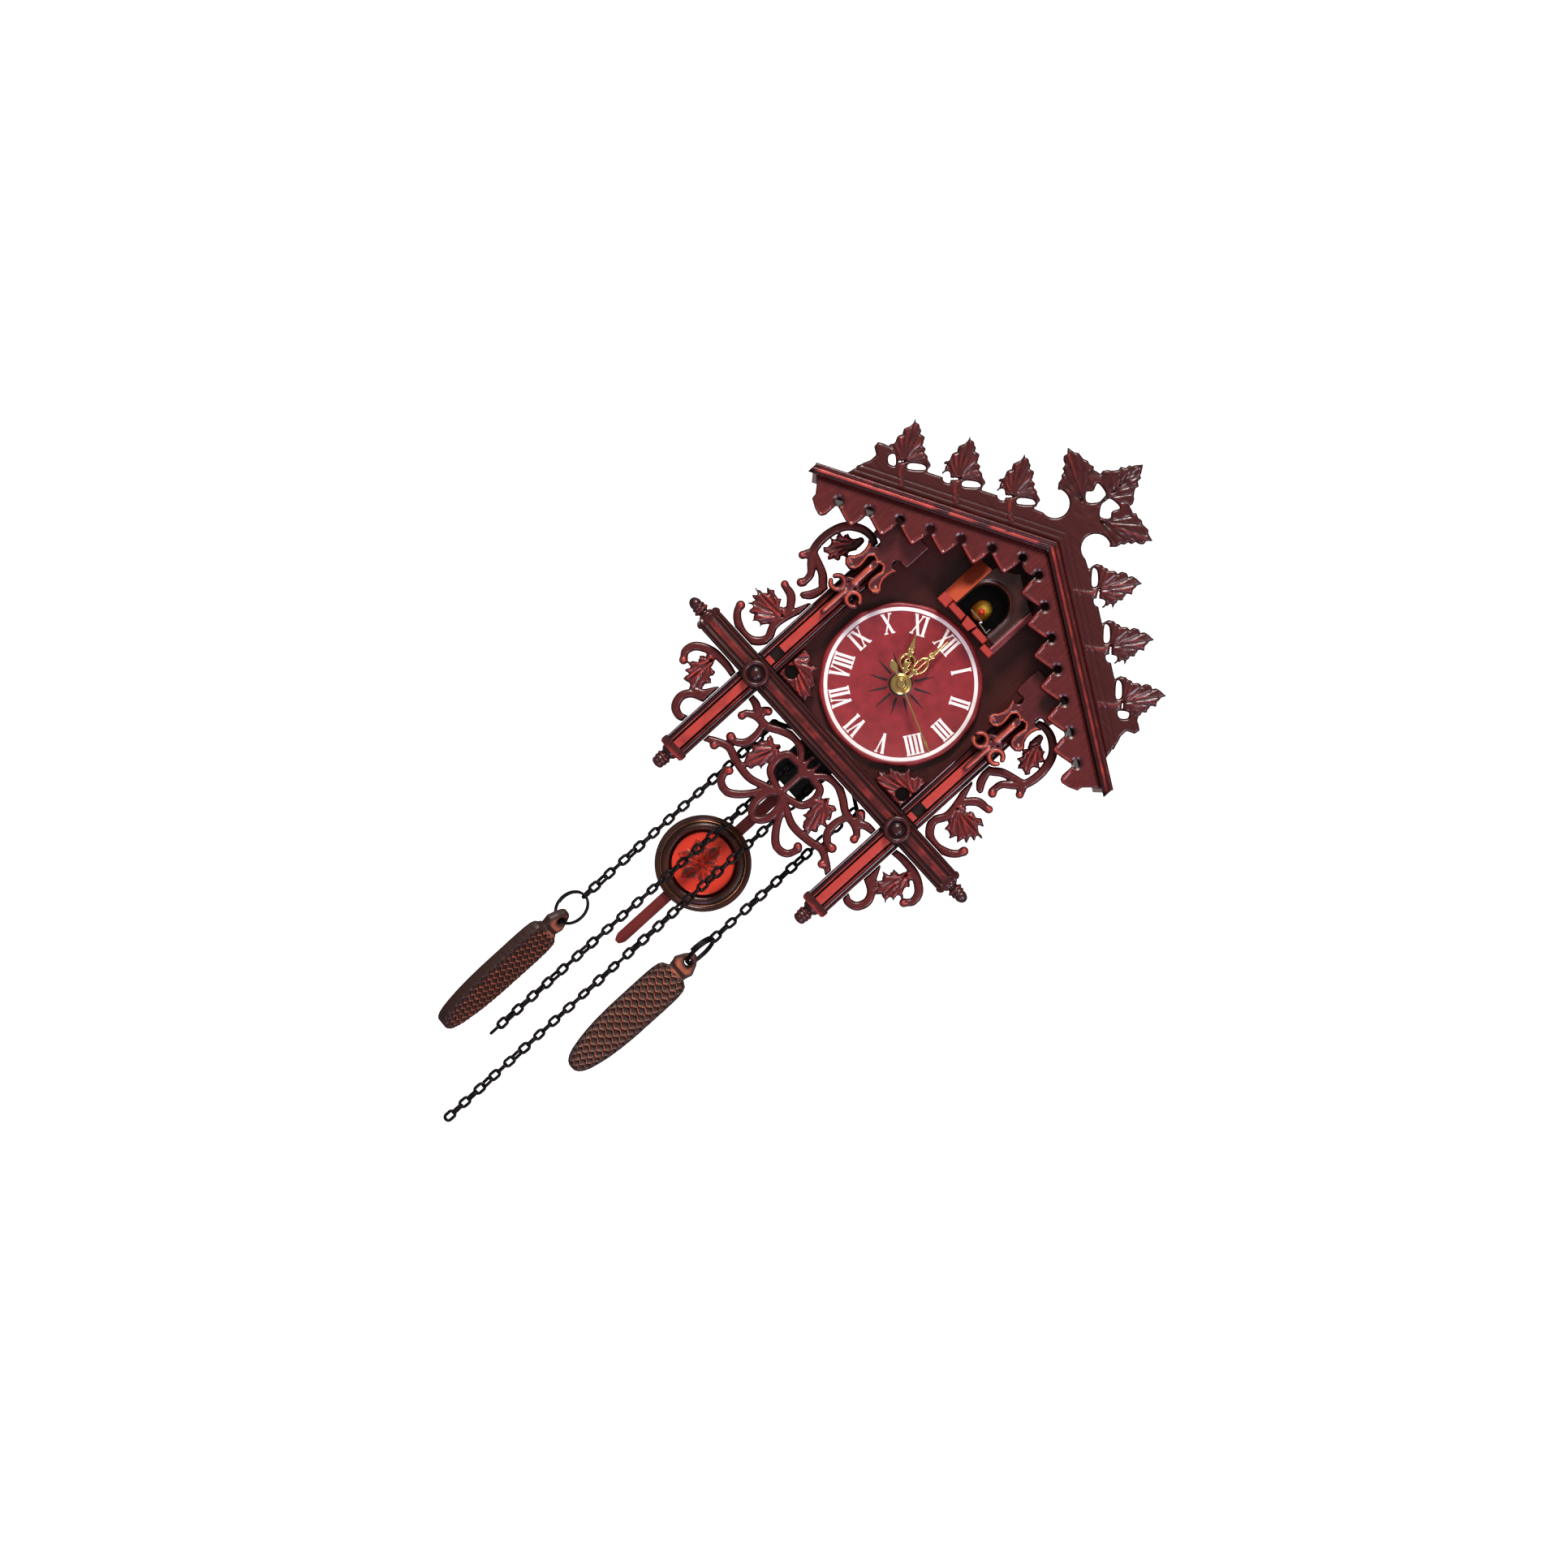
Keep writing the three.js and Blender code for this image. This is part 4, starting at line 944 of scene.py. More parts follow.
class CLOCK_OT_roof(bpy.types.Operator):
    """Makes the roof's moulded front band and the drilled fringe below it"""

    bl_idname = "clock.roof"
    bl_label = "Roof"

    def execute(self, context):
        for side, sign in SIDES.items():
            keep(f"roof_{side}", "red_wood_y", 0.5)
            install(self.band(side, sign), "case", "red_wood", "banded_x", f"barge_{side}")
            install(self.fringe(side, sign), "case", "carved_wood", "carving", f"fringe_{side}")
            # A dark board for the shade under the eaves.
            install(self.eave_shade(side, sign), "case", "dark_wood", "dark_wood")
        return {"FINISHED"}

    @staticmethod
    def eave_shade(side, sign):
        """A dark board under the eaves, outside the walls and behind the fringe: painted shade, standing for
        the shade seen through the fringe's holes.
        """
        section = [(63.0, 6.4), (113.0, 6.4), (110.0, 15.0), (63.0, 15.0)]
        front, back = ([(sign * x, y, roof_z(x, below)) for x, below in section] for y in (-76, -6))
        return ease(loft_between(f"eave_shade_board_{side}", front, back), 0.5)

    @staticmethod
    def band(side, sign):
        """A reeded moulding along the roof's front edge: its profile runs down the slope's face."""
        low, high = span(f"barge_{side}")
        front, back = low[1], high[1]
        thick = 6.2
        profile = [(0.0, 0.9), (0.35, 0.25), (1.3, 0.0), (2.2, 0.35), (2.55, 0.8), (3.0, 0.15), (3.6, 0.0),
                   (4.3, 0.1), (4.9, 0.45), (5.2, 0.95), (5.7, 0.8), (thick, 1.1)]
        outer = HALF_SPAN - 0.3
        vertices = []
        dashes = [(8.5, 23.6), (25.2, 33.4), (40.7, 53.5), (61.5, 91.0), (92.5, 121.6)]
        breaks = {outer * k / 24 for k in range(25)}
        near = {end + step for dash in dashes for end in dash for step in (-0.3, 0.3)}
        breaks |= {x for x in near if x < outer}
        stations = sorted(breaks)
        cross = [(d, front + inset) for d, inset in profile] + [(thick, back), (0.0, back)]
        for x in stations:
            end = x == stations[-1]
            for d, y in cross:
                shift = d * math.sin(SLOPE) if end else 0
                vertices.append((sign * (x - shift), y, roof_z(x - shift, d)))
        rows, count = len(stations), len(cross)
        faces = loft(rows, count) + caps(rows, count)
        band = mesh_object(f"band_{side}", vertices, faces, 60)
        # Lift down the band's face, darker towards its lower edge. The left band's bright dashes are a
        # painted highlight from the light on the left; the right band's paler strip is painted light from the
        # right.
        plain = [(0, 0.5), (1.2, 0.55), (2.3, 0.45), (2.7, 0.4), (3.0, 0.5), (4.3, 0.5), (4.8, 0.35),
                 (5.6, 0.3), (6.2, 0.2)]
        rubbed_and_lit = [(0, 0.5), (1.2, 0.6), (2.2, 0.6), (2.5, 1.0), (4.4, 1.0), (4.9, 0.4), (5.6, 0.3),
                  (6.2, 0.2)]
        pale = [(0, 0.5), (1.2, 0.6), (2.3, 0.5), (2.7, 0.5), (3.0, 0.8), (4.3, 0.8), (4.8, 0.4), (6.2, 0.2)]

        def worn_and_lit(x, y, z):
            if y > front + 2:
                return 0.2
            depth = (roof_z(x) - z) * math.cos(SLOPE)
            # Painted light differs by side: the paler strip on the right, the highlight dashes on the left.
            if side == "right":
                return steps_of(pale, depth)
            along = abs(x) + depth * math.sin(SLOPE)
            return steps_of(rubbed_and_lit if any(a - 0.1 < along < b + 0.1 for a, b in dashes) else plain, depth)
        return mark(band, worn_and_lit)

    @staticmethod
    def fringe(side, sign):
        low, high = span(f"fringe_{side}")
        carving = Carving((low[0] - 3, low[2]), (high[0] + 3, high[2]))
        edge = [(-3.0, roof_z(3.0, 6.2)), (-3.0, 92.2), (0.0, 91.6), (3.4, 92.4)]
        holes = [(6.5 + 15.2 * k, 96.0 - 9.0 * k) for k in range(7)]
        for x, z in holes:
            edge += arc(x, z, 2.3, 228, -108, 12)
            if (x, z) != holes[-1]:
                edge += [(x - 0.9, z - 6.3), (x - 0.3, z - 10.0), (x + 0.1, z - 13.0), (x + 1.0, z - 14.0),
                         (x + 2.4, z - 14.2), (x + 8.0, z - 12.9), (x + 13.2, z - 11.6)]
        edge += [(97.0, 31.5), (98.2, 29.2), (100.0, 28.5), (104.0, 29.5), (109.0, 32.0), (109.5, 35.0),
                 (113.0, 39.0)]
        edge += [(117.2, roof_z(117.2, 6.2)), (0, roof_z(0, 6.2))]
        carving.blob(flip(edge, sign), 0.1)
        # Raised lines along each tooth's edges, lifted so that a highlight is painted on them, and a groove
        # round each hole, painted dark as shade.
        for x, z in holes:
            carving.groove(flip([(x + 0.4, z - 6), (x + 1.2, z - 12.6)], sign), 0.7, -0.5)
            carving.groove(flip([(x + 1.6, z - 13.0), (x + 7.0, z - 12.0), (x + 13.0, z - 10.6)], sign), 0.7,
                           -0.5)
            away = np.hypot(carving.x - sign * x, carving.z - z)
            carving.height -= 0.6 * np.exp(-(((away - 2.9) / 0.6) ** 2))
        top = [(x, roof_z(x, 7.2)) for x in (0, 117)]
        carving.groove(flip(top, sign), 1.0, 0.5)
        carving.window = carving.x * sign > -0.6
        return carving.mesh(f"fringe_board_{side}", high[1], low[1] - 0.04 * (side == "left"), crown=1.0,
                            radius=1.0)


class CLOCK_OT_crest(bpy.types.Operator):
    """Carves the leafy crest on the roof and the finial at its ridge"""

    bl_idname = "clock.crest"
    bl_label = "Crest"

    def execute(self, context):
        for side, sign in SIDES.items():
            install(self.row(side, sign), "case", "carved_wood", "crest_wood", f"crest_{side}")
        install(self.finial(), "case", "carved_wood", "crest_wood", "crest_top")
        return {"FINISHED"}

    @staticmethod
    def row(side, sign):
        low, high = span(f"crest_{side}")
        carving = Carving((low[0] - 3, low[2]), (high[0] + 3, high[2]))
        plain = [(12, roof_z(12)), (106.4, roof_z(106.4)), (104.5, 66), (103, 70), (102.8, 74.0),
                 (84, 85), (52, 103), (30, 115.5), (17.2, 121.4), (12, 124)]
        carving.blob(flip(plain, sign), 0.4)
        curl = [(106.9, 60.5), (102.3, 68.7), (102.9, 74.3), (107.1, 76.6), (107.6, 79.9), (104.8, 81.7),
                (99, 84), (92, 82)]
        carving.blob(flip(curl, sign), 0.6)
        blade = [(0, 0), (-1.8, -0.7), (-3.5, -0.6), (-6.6, -1.4), (-8.2, -3.2), (-10.4, -2.8), (-12.6, -4.0),
                 (-13.4, -6.6), (-15.8, -6.6), (-17.9, -8.7), (-19.5, -9.0), (-24.5, -10.5), (-26.2, -15.0),
                 (-20.5, -21.0), (-14, -20), (-9.5, -24.5), (-5.0, -26.0), (-2.9, -20.5), (-0.6, -22.0),
                 (-1.9, -17), (-0.2, -14.2), (-1.6, -11.2), (0.7, -8.7), (-0.9, -5.0)]
        places = [(48.5 + 27.4 * k, 135.8 - 15.9 * k) for k in range(3)]
        for x, z in places:
            here = [(x + dx, z + dz) for dx, dz in blade]
            tips = [(x - 0.5, z - 1), (x - 7, z - 3), (x - 13, z - 6), (x - 19, z - 10), (x - 1, z - 9),
                    (x - 2, z - 15), (x - 3, z - 20)]
            carving.leaf(flip(here, sign), (sign * (x - 13.5), z - 21.5), flip(tips, sign), 0.6)
            base = [(x - 27.0, z - 24), (x - 25.0, z - 11.5), (x - 22, z - 12), (x - 17, z - 16),
                    (x - 8, z - 29)]
            carving.blob(flip(base, sign), 1.0)
        for x, z in places:
            for gap in (
                [(x - 11.6, z - 25.6), (x - 8.5, z - 27.6), (x - 5.4, z - 24.6), (x - 7.2, z - 21.9)],
                [(x - 18, z - 21.6), (x - 24.4, z - 15.2), (x - 21.8, z - 14.2), (x - 16.4, z - 19)],
            ):
                carving.pierce(flip(gap, sign))
            stem = [(x - 13.5, z - 21), (x - 15.5, z - 25.5), (x - 22, z - 31)]
            carving.groove(flip(stem, sign), 1.2, -0.5, curved=True)
        for drop in (-3.4, -6.6):
            carving.groove(flip([(12, roof_z(12, drop)), (104, roof_z(104, drop))], sign), 0.5, 0.35)
        carving.window = carving.x * sign > 16.9
        return carving.mesh(f"crest_leaves_{side}", high[1], low[1], crown=1.6, radius=1.6)

    @staticmethod
    def finial():
        low, high = span("crest_top")
        carving = Carving((low[0], low[2]), (high[0], high[2]))
        right = [(0, 180), (1.4, 178.2), (3, 176), (3.4, 174.8), (5, 174), (5, 171.6), (7.5, 170),
                 (7.0, 168.0), (7.9, 166.5), (9.5, 164.5), (11.0, 163.5), (12.5, 161), (12.0, 159.0),
                 (14, 158.6), (16.1, 157.8), (17.4, 159.2), (20, 158.2), (22.2, 158.8), (24.5, 157.6),
                 (28.7, 158), (30.5, 156.4), (35, 155.5), (32.6, 153), (33, 150.6), (31.2, 148.8),
                 (29, 148.2), (28.4, 145.6), (26.4, 145), (26, 142.6), (24.5, 141.5), (24, 138.6),
                 (21.3, 135.6)]
        right += arc(17, 129.5, 8.2, 68, 272, 16) + [(17.4, 121.3), (26, 117.0), (26, roof_z(26)),
                                                     (0, roof_z(0))]
        carving.blob(right + flip(right[1:-1], -1)[::-1], 0.05)
        for sign in (-1, 1):
            away = np.hypot(carving.x - sign * 6, carving.z - 140)
            carving.height += 0.12 * np.sin(away * 0.9) * (carving.z > 134)
            for tip in ((30, 155), (24, 157), (17, 156), (29, 149.5), (26, 144.5), (22.5, 139)):
                carving.groove(flip([(8, 141.5), tip], sign), 0.6, 0.5)
            carving.groove(flip([(8, 142.5), (20, 148), (32, 153)], sign), 0.9, -0.5)
            for tip in ((3.2, 174), (5.6, 169.5), (8, 164.5), (10, 160)):
                carving.groove(flip([(0, tip[1] - 12), tip], sign), 0.5, 0.45)
            hole = [(9, 154.5), (2.2, 154), (1.2, 151), (1.4, 147.5), (5.5, 143.2), (9.6, 146.5),
                    (7.6, 149.8)]
            carving.pierce(flip(hole, sign))
            for drop in (-3.4, -6.6):
                carving.groove(flip([(0, roof_z(0, drop)), (26, roof_z(26, drop))], sign), 0.5, 0.35)
        carving.groove([(0, 146), (0, 178)], 0.6, 0.5)
        carving.window = np.abs(carving.x) < 18.1 + 99 * (carving.z > 122)
        return carving.mesh("finial_leaf", high[1], low[1] - 0.04, crown=1.6, radius=1.6)


# ---- Door frame and bird -----------------------------------------------------------------------------------

class CLOCK_OT_door_frame(bpy.types.Operator):
    """Carves the small door frame under the ridge: its arch, its slanted sides and its stepped sill"""

    bl_idname = "clock.door_frame"
    bl_label = "Door frame"

    def execute(self, context):
        low, high = span("door_frame")
        front, back = low[1], high[1]
        install(self.face(low, high), "case", "dark_wood", "niche_wood", "door_frame")
        plan = [(-21.9, back), (-21.9, back - 6), (-20.6, back - 7.5), (-13.0, front + 0.4),
                (-12.6, front + 1.4), (-12.6, back)]
        left = self.slab("frame_cheek_left", plan, 52.6, 79.5)
        # The left cheek gets a brighter copy of the stained wood: painted light, as if lit from the left.
        install(left, "case", "red_wood", "key_lit_wood_z")
        plan = [(18.4, front + 1.2), (18.8, front + 0.5), (19.4, front + 0.9), (21.4, back - 7),
                (22.1, back - 5), (22.1, back), (18.4, back)]
        right = self.slab("frame_cheek_right", plan, 49.0, 79.5)
        # The right cheek gets a pale pink copy: a painted reflection of coloured light from the right.
        install(right, "case", "red_wood", "pink_lit_wood")
        # The sill gets a brighter copy of the stained wood.
        install(self.sill(front, back), "case", "red_wood", "bright_sill_wood")
        return {"FINISHED"}

    @staticmethod
    def face(low, high):
        arch = [(-12, 51.8), (-12, 64.7)] + arc(0, 64.7, 12, 180, 0, 24)[1:] + [(12, 51.8)]
        c = Carving((low[0], low[2]), (high[0], high[2]), 0.4)
        c.blob([(-12.9, 52), (-12.9, 82), (0, 89.5), (18.6, 80), (18.6, 52)], 0.1)
        c.cut(c.distance_to(arch))
        rim = np.abs(c.distance_to(arch))
        c.height += 0.5 * np.exp(-(((rim - 0.7) / 0.6) ** 2)) - 0.5 * np.exp(-(((rim - 2.2) / 0.6) ** 2))
        return c.mesh("frame_face", low[1] + 12, low[1] + 0.5, crown=0.5, radius=0.7)

    @staticmethod
    def slab(name, section, bottom, top):
        """An upright moulding from its plan."""
        low, high = ([(x, y, z) for x, y in section] for z in (bottom, top))
        return ease(loft_between(name, low, high), 0.25)

    @classmethod
    def sill(cls, front, back):
        """Stepped blocks below the arch: two at the ends, two ledges and a dovetail between them."""
        blocks = [(-21.8, -14.6, 46.8, 52.4, 3.4), (-14.3, -3.6, 48.2, 51.9, 2.2),
                  (4.6, 14.2, 48.2, 51.9, 2.2), (14.5, 22.0, 45.4, 48.8, 0.6)]
        pieces = []
        for x0, x1, z0, z1, inset in blocks:
            y = front + inset
            plan = [(x0, y + 0.8), (x0 + 0.6, y), (x1 - 0.6, y), (x1, y + 0.8), (x1, back), (x0, back)]
            pieces.append(cls.slab("sill_block", plan, z0, z1))
        wedge = [(-3.4, 52.3), (4.4, 52.3), (3.1, 47.0), (-2.1, 47.0)]
        near, far = ([(x, y, z) for x, z in wedge] for y in (front + 0.8, back))
        pieces.append(loft_between("sill_wedge", near, far))
        return join_pieces("frame_sill", pieces)


class CLOCK_OT_bird(bpy.types.Operator):
    """Makes the bird with its feathers and beak, and the wire in front of it"""

    bl_idname = "clock.bird"
    bl_label = "Bird"

    def execute(self, context):
        install(self.bird(), "bird", "bird_yellow", "bird_yellow", "bird_body")
        low, high = span("bird_beak")
        length_ = high[1] - low[1]
        middle = ((low[0] + high[0]) / 2, high[1], (low[2] + high[2]) / 2)
        half = (high[2] - low[2]) / 2
        profile = [(0.05, 0), (half * 0.8, 0.05), (half, length_ * 0.25), (half * 0.97, length_ * 0.5),
                   (half * 0.72, length_ * 0.8), (half * 0.35, length_ * 0.96), (0.05, length_)]
        install(lathe("beak", profile, middle, "front", 28, 3), "bird", "beak_red", "beak_red", "bird_beak")
        low, high = span("perch_wire")
        y = (low[1] + high[1]) / 2
        points = [(-5.2, y, 56.6), (-2, y - 0.1, 56.3), (3, y, 56.4), (5.0, y, 56.1), (4.2, y, 54.9),
                  (8, y, 54.3), (13.0, y, 53.9), (15.6, y, 54.6), (15.9, y, 56.4), (14.2, y, 57.0)]
        points = [(min(max(x, low[0] + 0.5), high[0] - 0.5), v, z) for x, v, z in points]
        wire = rod("bird_wire", points, 0.5, 10, 8)
        install(wire, "bird", "steel", "steel", "perch_wire")
        return {"FINISHED"}

    @staticmethod
    def bird():
        """Head, breast and folded wings in one skin, with rows of feathers raised on it."""
        work = bmesh.new()
        parts = [((0, -66, 62.2), (5.1, 5.1, 5.1)), ((0, -59.5, 60.6), (5.6, 7.4, 5.9)),
                 ((0, -63.5, 59.9), (5.0, 5.0, 5.2))]
        for centre, radii in parts:
            made = bmesh.ops.create_uvsphere(work, u_segments=40, v_segments=28, radius=1)["verts"]
            for v in made:
                v.co = Vector((centre[k] + v.co[k] * radii[k] for k in range(3))) * MM
        data = bpy.data.meshes.new("bird")
        work.to_mesh(data)
        work.free()
        piece = bpy.data.objects.new("bird", data)
        bpy.context.scene.collection.objects.link(piece)
        skin = piece.modifiers.new("Skin", "REMESH")
        skin.mode = "VOXEL"
        skin.voxel_size = 0.28 * MM
        feathers = bpy.data.textures.new("feathers", "VORONOI")
        feathers.noise_scale = 0.0016
        ruffle = piece.modifiers.new("Feathers", "DISPLACE")
        ruffle.texture = feathers
        ruffle.strength = -0.45 * MM
        ruffle.mid_level = 0.2
        soften = piece.modifiers.new("Soften", "SMOOTH")
        soften.iterations = 2
        for polygon in data.polygons:
            polygon.use_smooth = True
        return piece


# ---- Dial and hands ----------------------------------------------------------------------------------------

def clockwise(x, z, angle):
    """A place across and up, turned about the dial's centre."""
    return x * math.cos(angle) + z * math.sin(angle), z * math.cos(angle) - x * math.sin(angle)


def numeral_strokes(text):
    """The strokes of a Roman numeral, with its foot at z = 0 and its top at z = 1: from, to and width."""
    widths = {"I": 0.30, "V": 0.78, "X": 0.82}
    total = sum(widths[c] for c in text) + 0.06 * (len(text) - 1)
    x, strokes = -total / 2, []
    for c in text:
        w = widths[c]
        a, b, m = x, x + w, x + w / 2
        if c == "I":
            strokes.append(((m, 0), (m, 1), 0.23))
            strokes += [((m - 0.15, v), (m + 0.17, v), 0.09) for v in (0.03, 0.97)]
        if c == "V":
            strokes += [((a + 0.14, 1), (m, 0), 0.23), ((b - 0.12, 1), (m, 0), 0.11)]
            strokes += [((a, 0.97), (a + 0.30, 0.97), 0.09), ((b - 0.26, 0.97), (b, 0.97), 0.09)]
        if c == "X":
            strokes += [((a + 0.14, 1), (b - 0.14, 0), 0.23), ((b - 0.12, 1), (a + 0.12, 0), 0.11)]
            strokes += [((p, v), (p + 0.28, v), 0.09) for p in (a, b - 0.26) for v in (0.03, 0.97)]
        x += w + 0.06
    return strokes


class CLOCK_OT_dial(bpy.types.Operator):
    """Makes the dial with its white ring, Roman numerals and dark spokes"""

    bl_idname = "clock.dial"
    bl_label = "Dial"

    def execute(self, context):
        low, high = span("dial_plate")
        front, back = low[1], high[1]
        install(self.plate(front, back), "case", "dial_red", "dial_paint", "dial_plate")
        pieces = [self.ring(front)]
        numerals = ["XII", "I", "II", "III", "IIII", "V", "VI", "VII", "VIII", "IX", "X", "XI"]
        for hour, text in enumerate(numerals):
            pieces.append(self.numeral(hour, text, front))
        install(join_pieces("numerals", pieces), "case", "dial_red", "numeral_paint")
        install(self.spokes(front), "case", "dial_red", "black_paint")
        return {"FINISHED"}

    @staticmethod
    def plate(front, back):
        """A disc with a slightly wavy rolled rim and a shallow ground."""
        steps, vertices = 192, []
        profile = [(4.6, back), (44.6, back), (45.8, back - 1.0), (45.9, front + 1.3), (45.2, front + 0.55),
                   (44.2, front + 0.15), (43.4, front + 0.35), (42.6, front + 0.62), (20, front + 0.8),
                   (8.6, front + 0.85), (7.2, front + 0.45), (4.6, front + 0.45)]
        for r, y in profile:
            for k in range(steps):
                a = 2 * math.pi * k / steps
                wave = 1 - 0.006 * (1 + math.sin(12 * a)) * (r > 44)
                vertices.append((r * wave * math.cos(a), y, r * wave * math.sin(a)))
        return mesh_object("dial", vertices, loft(len(profile), steps, True), 60)

    @staticmethod
    def ring(front):
        profile = [(40.9, -0.1), (40.95, 0.13), (41.3, 0.2), (42.7, 0.2), (43.0, 0.13), (43.05, -0.1)]
        return lathe("minute_ring", profile, (0, front + 0.55, 0), "front", 192, closed=True, sharp=60)

    @staticmethod
    def numeral(hour, text, front):
        foot, tall = 28.6, sizes().numeral_height
        angle = math.radians(30 * hour)
        vertices, faces = [], []
        for index, (start, end, width) in enumerate(numeral_strokes(text)):
            dx, dz = end[0] - start[0], end[1] - start[1]
            reach = math.hypot(dx, dz)
            nx, nz = -dz / reach * width / 2, dx / reach * width / 2
            corners = [(start[0] + nx, start[1] + nz), (start[0] - nx, start[1] - nz),
                       (end[0] - nx, end[1] - nz), (end[0] + nx, end[1] + nz)]
            base = len(vertices)
            raise_ = 0.22 + 0.004 * index
            for y in (front + 0.9, front + 0.78 - raise_):
                for u, v in corners:
                    x, z = u * tall * 0.62, foot + min(max(v, 0), 1) * tall
                    x, z = clockwise(x, z, angle)
                    vertices.append((x, y, z))
            faces += [(base, base + 1, base + 2, base + 3), (base + 7, base + 6, base + 5, base + 4)]
            faces += [(base + k, base + (k + 1) % 4, base + (k + 1) % 4 + 4, base + k + 4) for k in range(4)]
        return mesh_object("numeral", vertices, faces, 30, smooth=False)

    @staticmethod
    def spokes(front):
        pieces = [lathe("centre_disc", [(4.7, 0), (4.7, 0.5), (6.5, 0.5), (6.9, 0.2), (6.9, 0)],
                        (0, front + 0.75, 0), "front", 72, closed=True)]
        for k in range(12):
            angle = math.radians(30 * k)
            outline = [(-0.35, 7.6), (-0.62, 9.2), (-0.5, 13.0), (0, 18.8), (0.5, 13.0), (0.62, 9.2),
                       (0.35, 7.6)]
            points = [clockwise(x, z, angle) for x, z in outline]
            n = len(points)
            vertices = [(x, front + 0.95, z) for x, z in points] + [(x, front + 0.62, z) for x, z in points]
            centre = (11.5 * math.sin(angle), front + 0.42, 11.5 * math.cos(angle))
            faces = [(i, (i + 1) % n, (i + 1) % n + n, i + n) for i in range(n)]
            faces += [(i + n, (i + 1) % n + n, 2 * n) for i in range(n)] + [tuple(range(n - 1, -1, -1))]
            pieces.append(mesh_object("spoke", vertices + [centre], faces, 60))
        return join_pieces("dial_spokes", pieces)


class CLOCK_OT_hands(bpy.types.Operator):
    """Makes the pierced gilt hands and the nut"""

    bl_idname = "clock.hands"
    bl_label = "Hands"

    def execute(self, context):
        hands = {"hour_hand": ("hour_wheel", -31.0), "minute_hand": ("minute_wheel", 0.0),
                 "second_hand": ("second_wheel", 110.0)}
        for node, (body, turn) in hands.items():
            low, high = span(node)
            shape = getattr(self, node)()
            slim = 0.12 if node == "second_hand" else 0.25
            piece = shape.mesh(f"gilt_{node}", high[1], low[1], crown=slim, radius=0.5, turn=turn)
            install(piece, body, "gold", "gold", node)
        low, high = span("hand_nut")
        tall = high[1] - low[1]
        profile = [(2.6, 0), (5.6, 0), (5.9, 0.3), (5.8, 0.8), (4.9, 1.35), (4.6, 1.1), (3.4, 1.2),
                   (3.2, tall - 0.3), (2.9, tall), (2.6, tall)]
        install(lathe("nut", profile, (0, high[1], 0), "front", 72, closed=True), "minute_wheel", "gold",
                "gold", "hand_nut")
        return {"FINISHED"}

    @staticmethod
    def hour_hand():
        c = Carving((-7, -7), (7, 30.5), 0.22)
        c.field = np.hypot(c.x, c.z) - 5.4
        c.bar([(0, 4), (0, 12)], 2.0, 1.0, False)
        for sign in (-1, 1):
            c.bar([(0, 7.5), (sign * 2.6, 9.2), (sign * 4.3, 12.4), (sign * 3.4, 15.6), (0, 17.6)], 1.3, 1.0)
            c.bar([(sign * 0.2, 9.5), (sign * 1.6, 12.6), (0, 15.4)], 0.9, 1.0)
            c.bar([(0, 17.5), (sign * 1.5, 19.6), (0, 22.3)], 0.9, 1.0)
        c.blob([(-1.5, 21.5), (0, 29), (1.5, 21.5), (0, 20.2)], 0.2)
        c.bar([(0, 16), (0, 24)], 0.9, 1.0, False)
        c.drill(0, 0, 3.1)
        return c

    @staticmethod
    def minute_hand():
        c = Carving((-7, -7), (7, 40.5), 0.22)
        c.field = np.hypot(c.x, c.z) - 4.9
        c.bar([(0, 4), (0, 11)], 1.8, 1.0, False)
        for sign in (-1, 1):
            c.bar([(0, 8.6), (sign * 2.3, 11), (sign * 3.1, 14.6), (sign * 2.2, 18.4), (0, 20.6)], 1.1, 1.0)
            c.bar([(0, 21), (sign * 1.5, 23.0), (0, 25.4)], 0.8, 1.0)
        c.bar([(0, 9), (0, 27)], 0.8, 1.0, False)
        c.blob([(-1.05, 25), (0, 39), (1.05, 25), (0, 23.4)], 0.2)
        c.drill(0, 0, 2.5)
        return c

    @staticmethod
    def second_hand():
        c = Carving((-5, -15.5), (5, 42.5), 0.22)
        c.field = np.hypot(c.x, c.z) - 2.2
        c.bar([(0, -12), (0, 41)], 0.85, 0.9, False)
        c.blob([(0, 41), (-0.9, 35.4), (0, 33.6), (0.9, 35.4)], 0.2)
        tail = [(0, -14.2), (-1.9, -11.6), (-1.5, -8.8), (0, -6.6), (1.5, -8.8), (1.9, -11.6)]
        c.blob(spline(tail, 5, True), 0.2)
        return c


# ---- Posts, crossbar and carvings --------------------------------------------------------------------------

POST_X, POST_HALF = 58.6, 7.5
BAR_Z, BAR_HALF = -54.6, 7.25


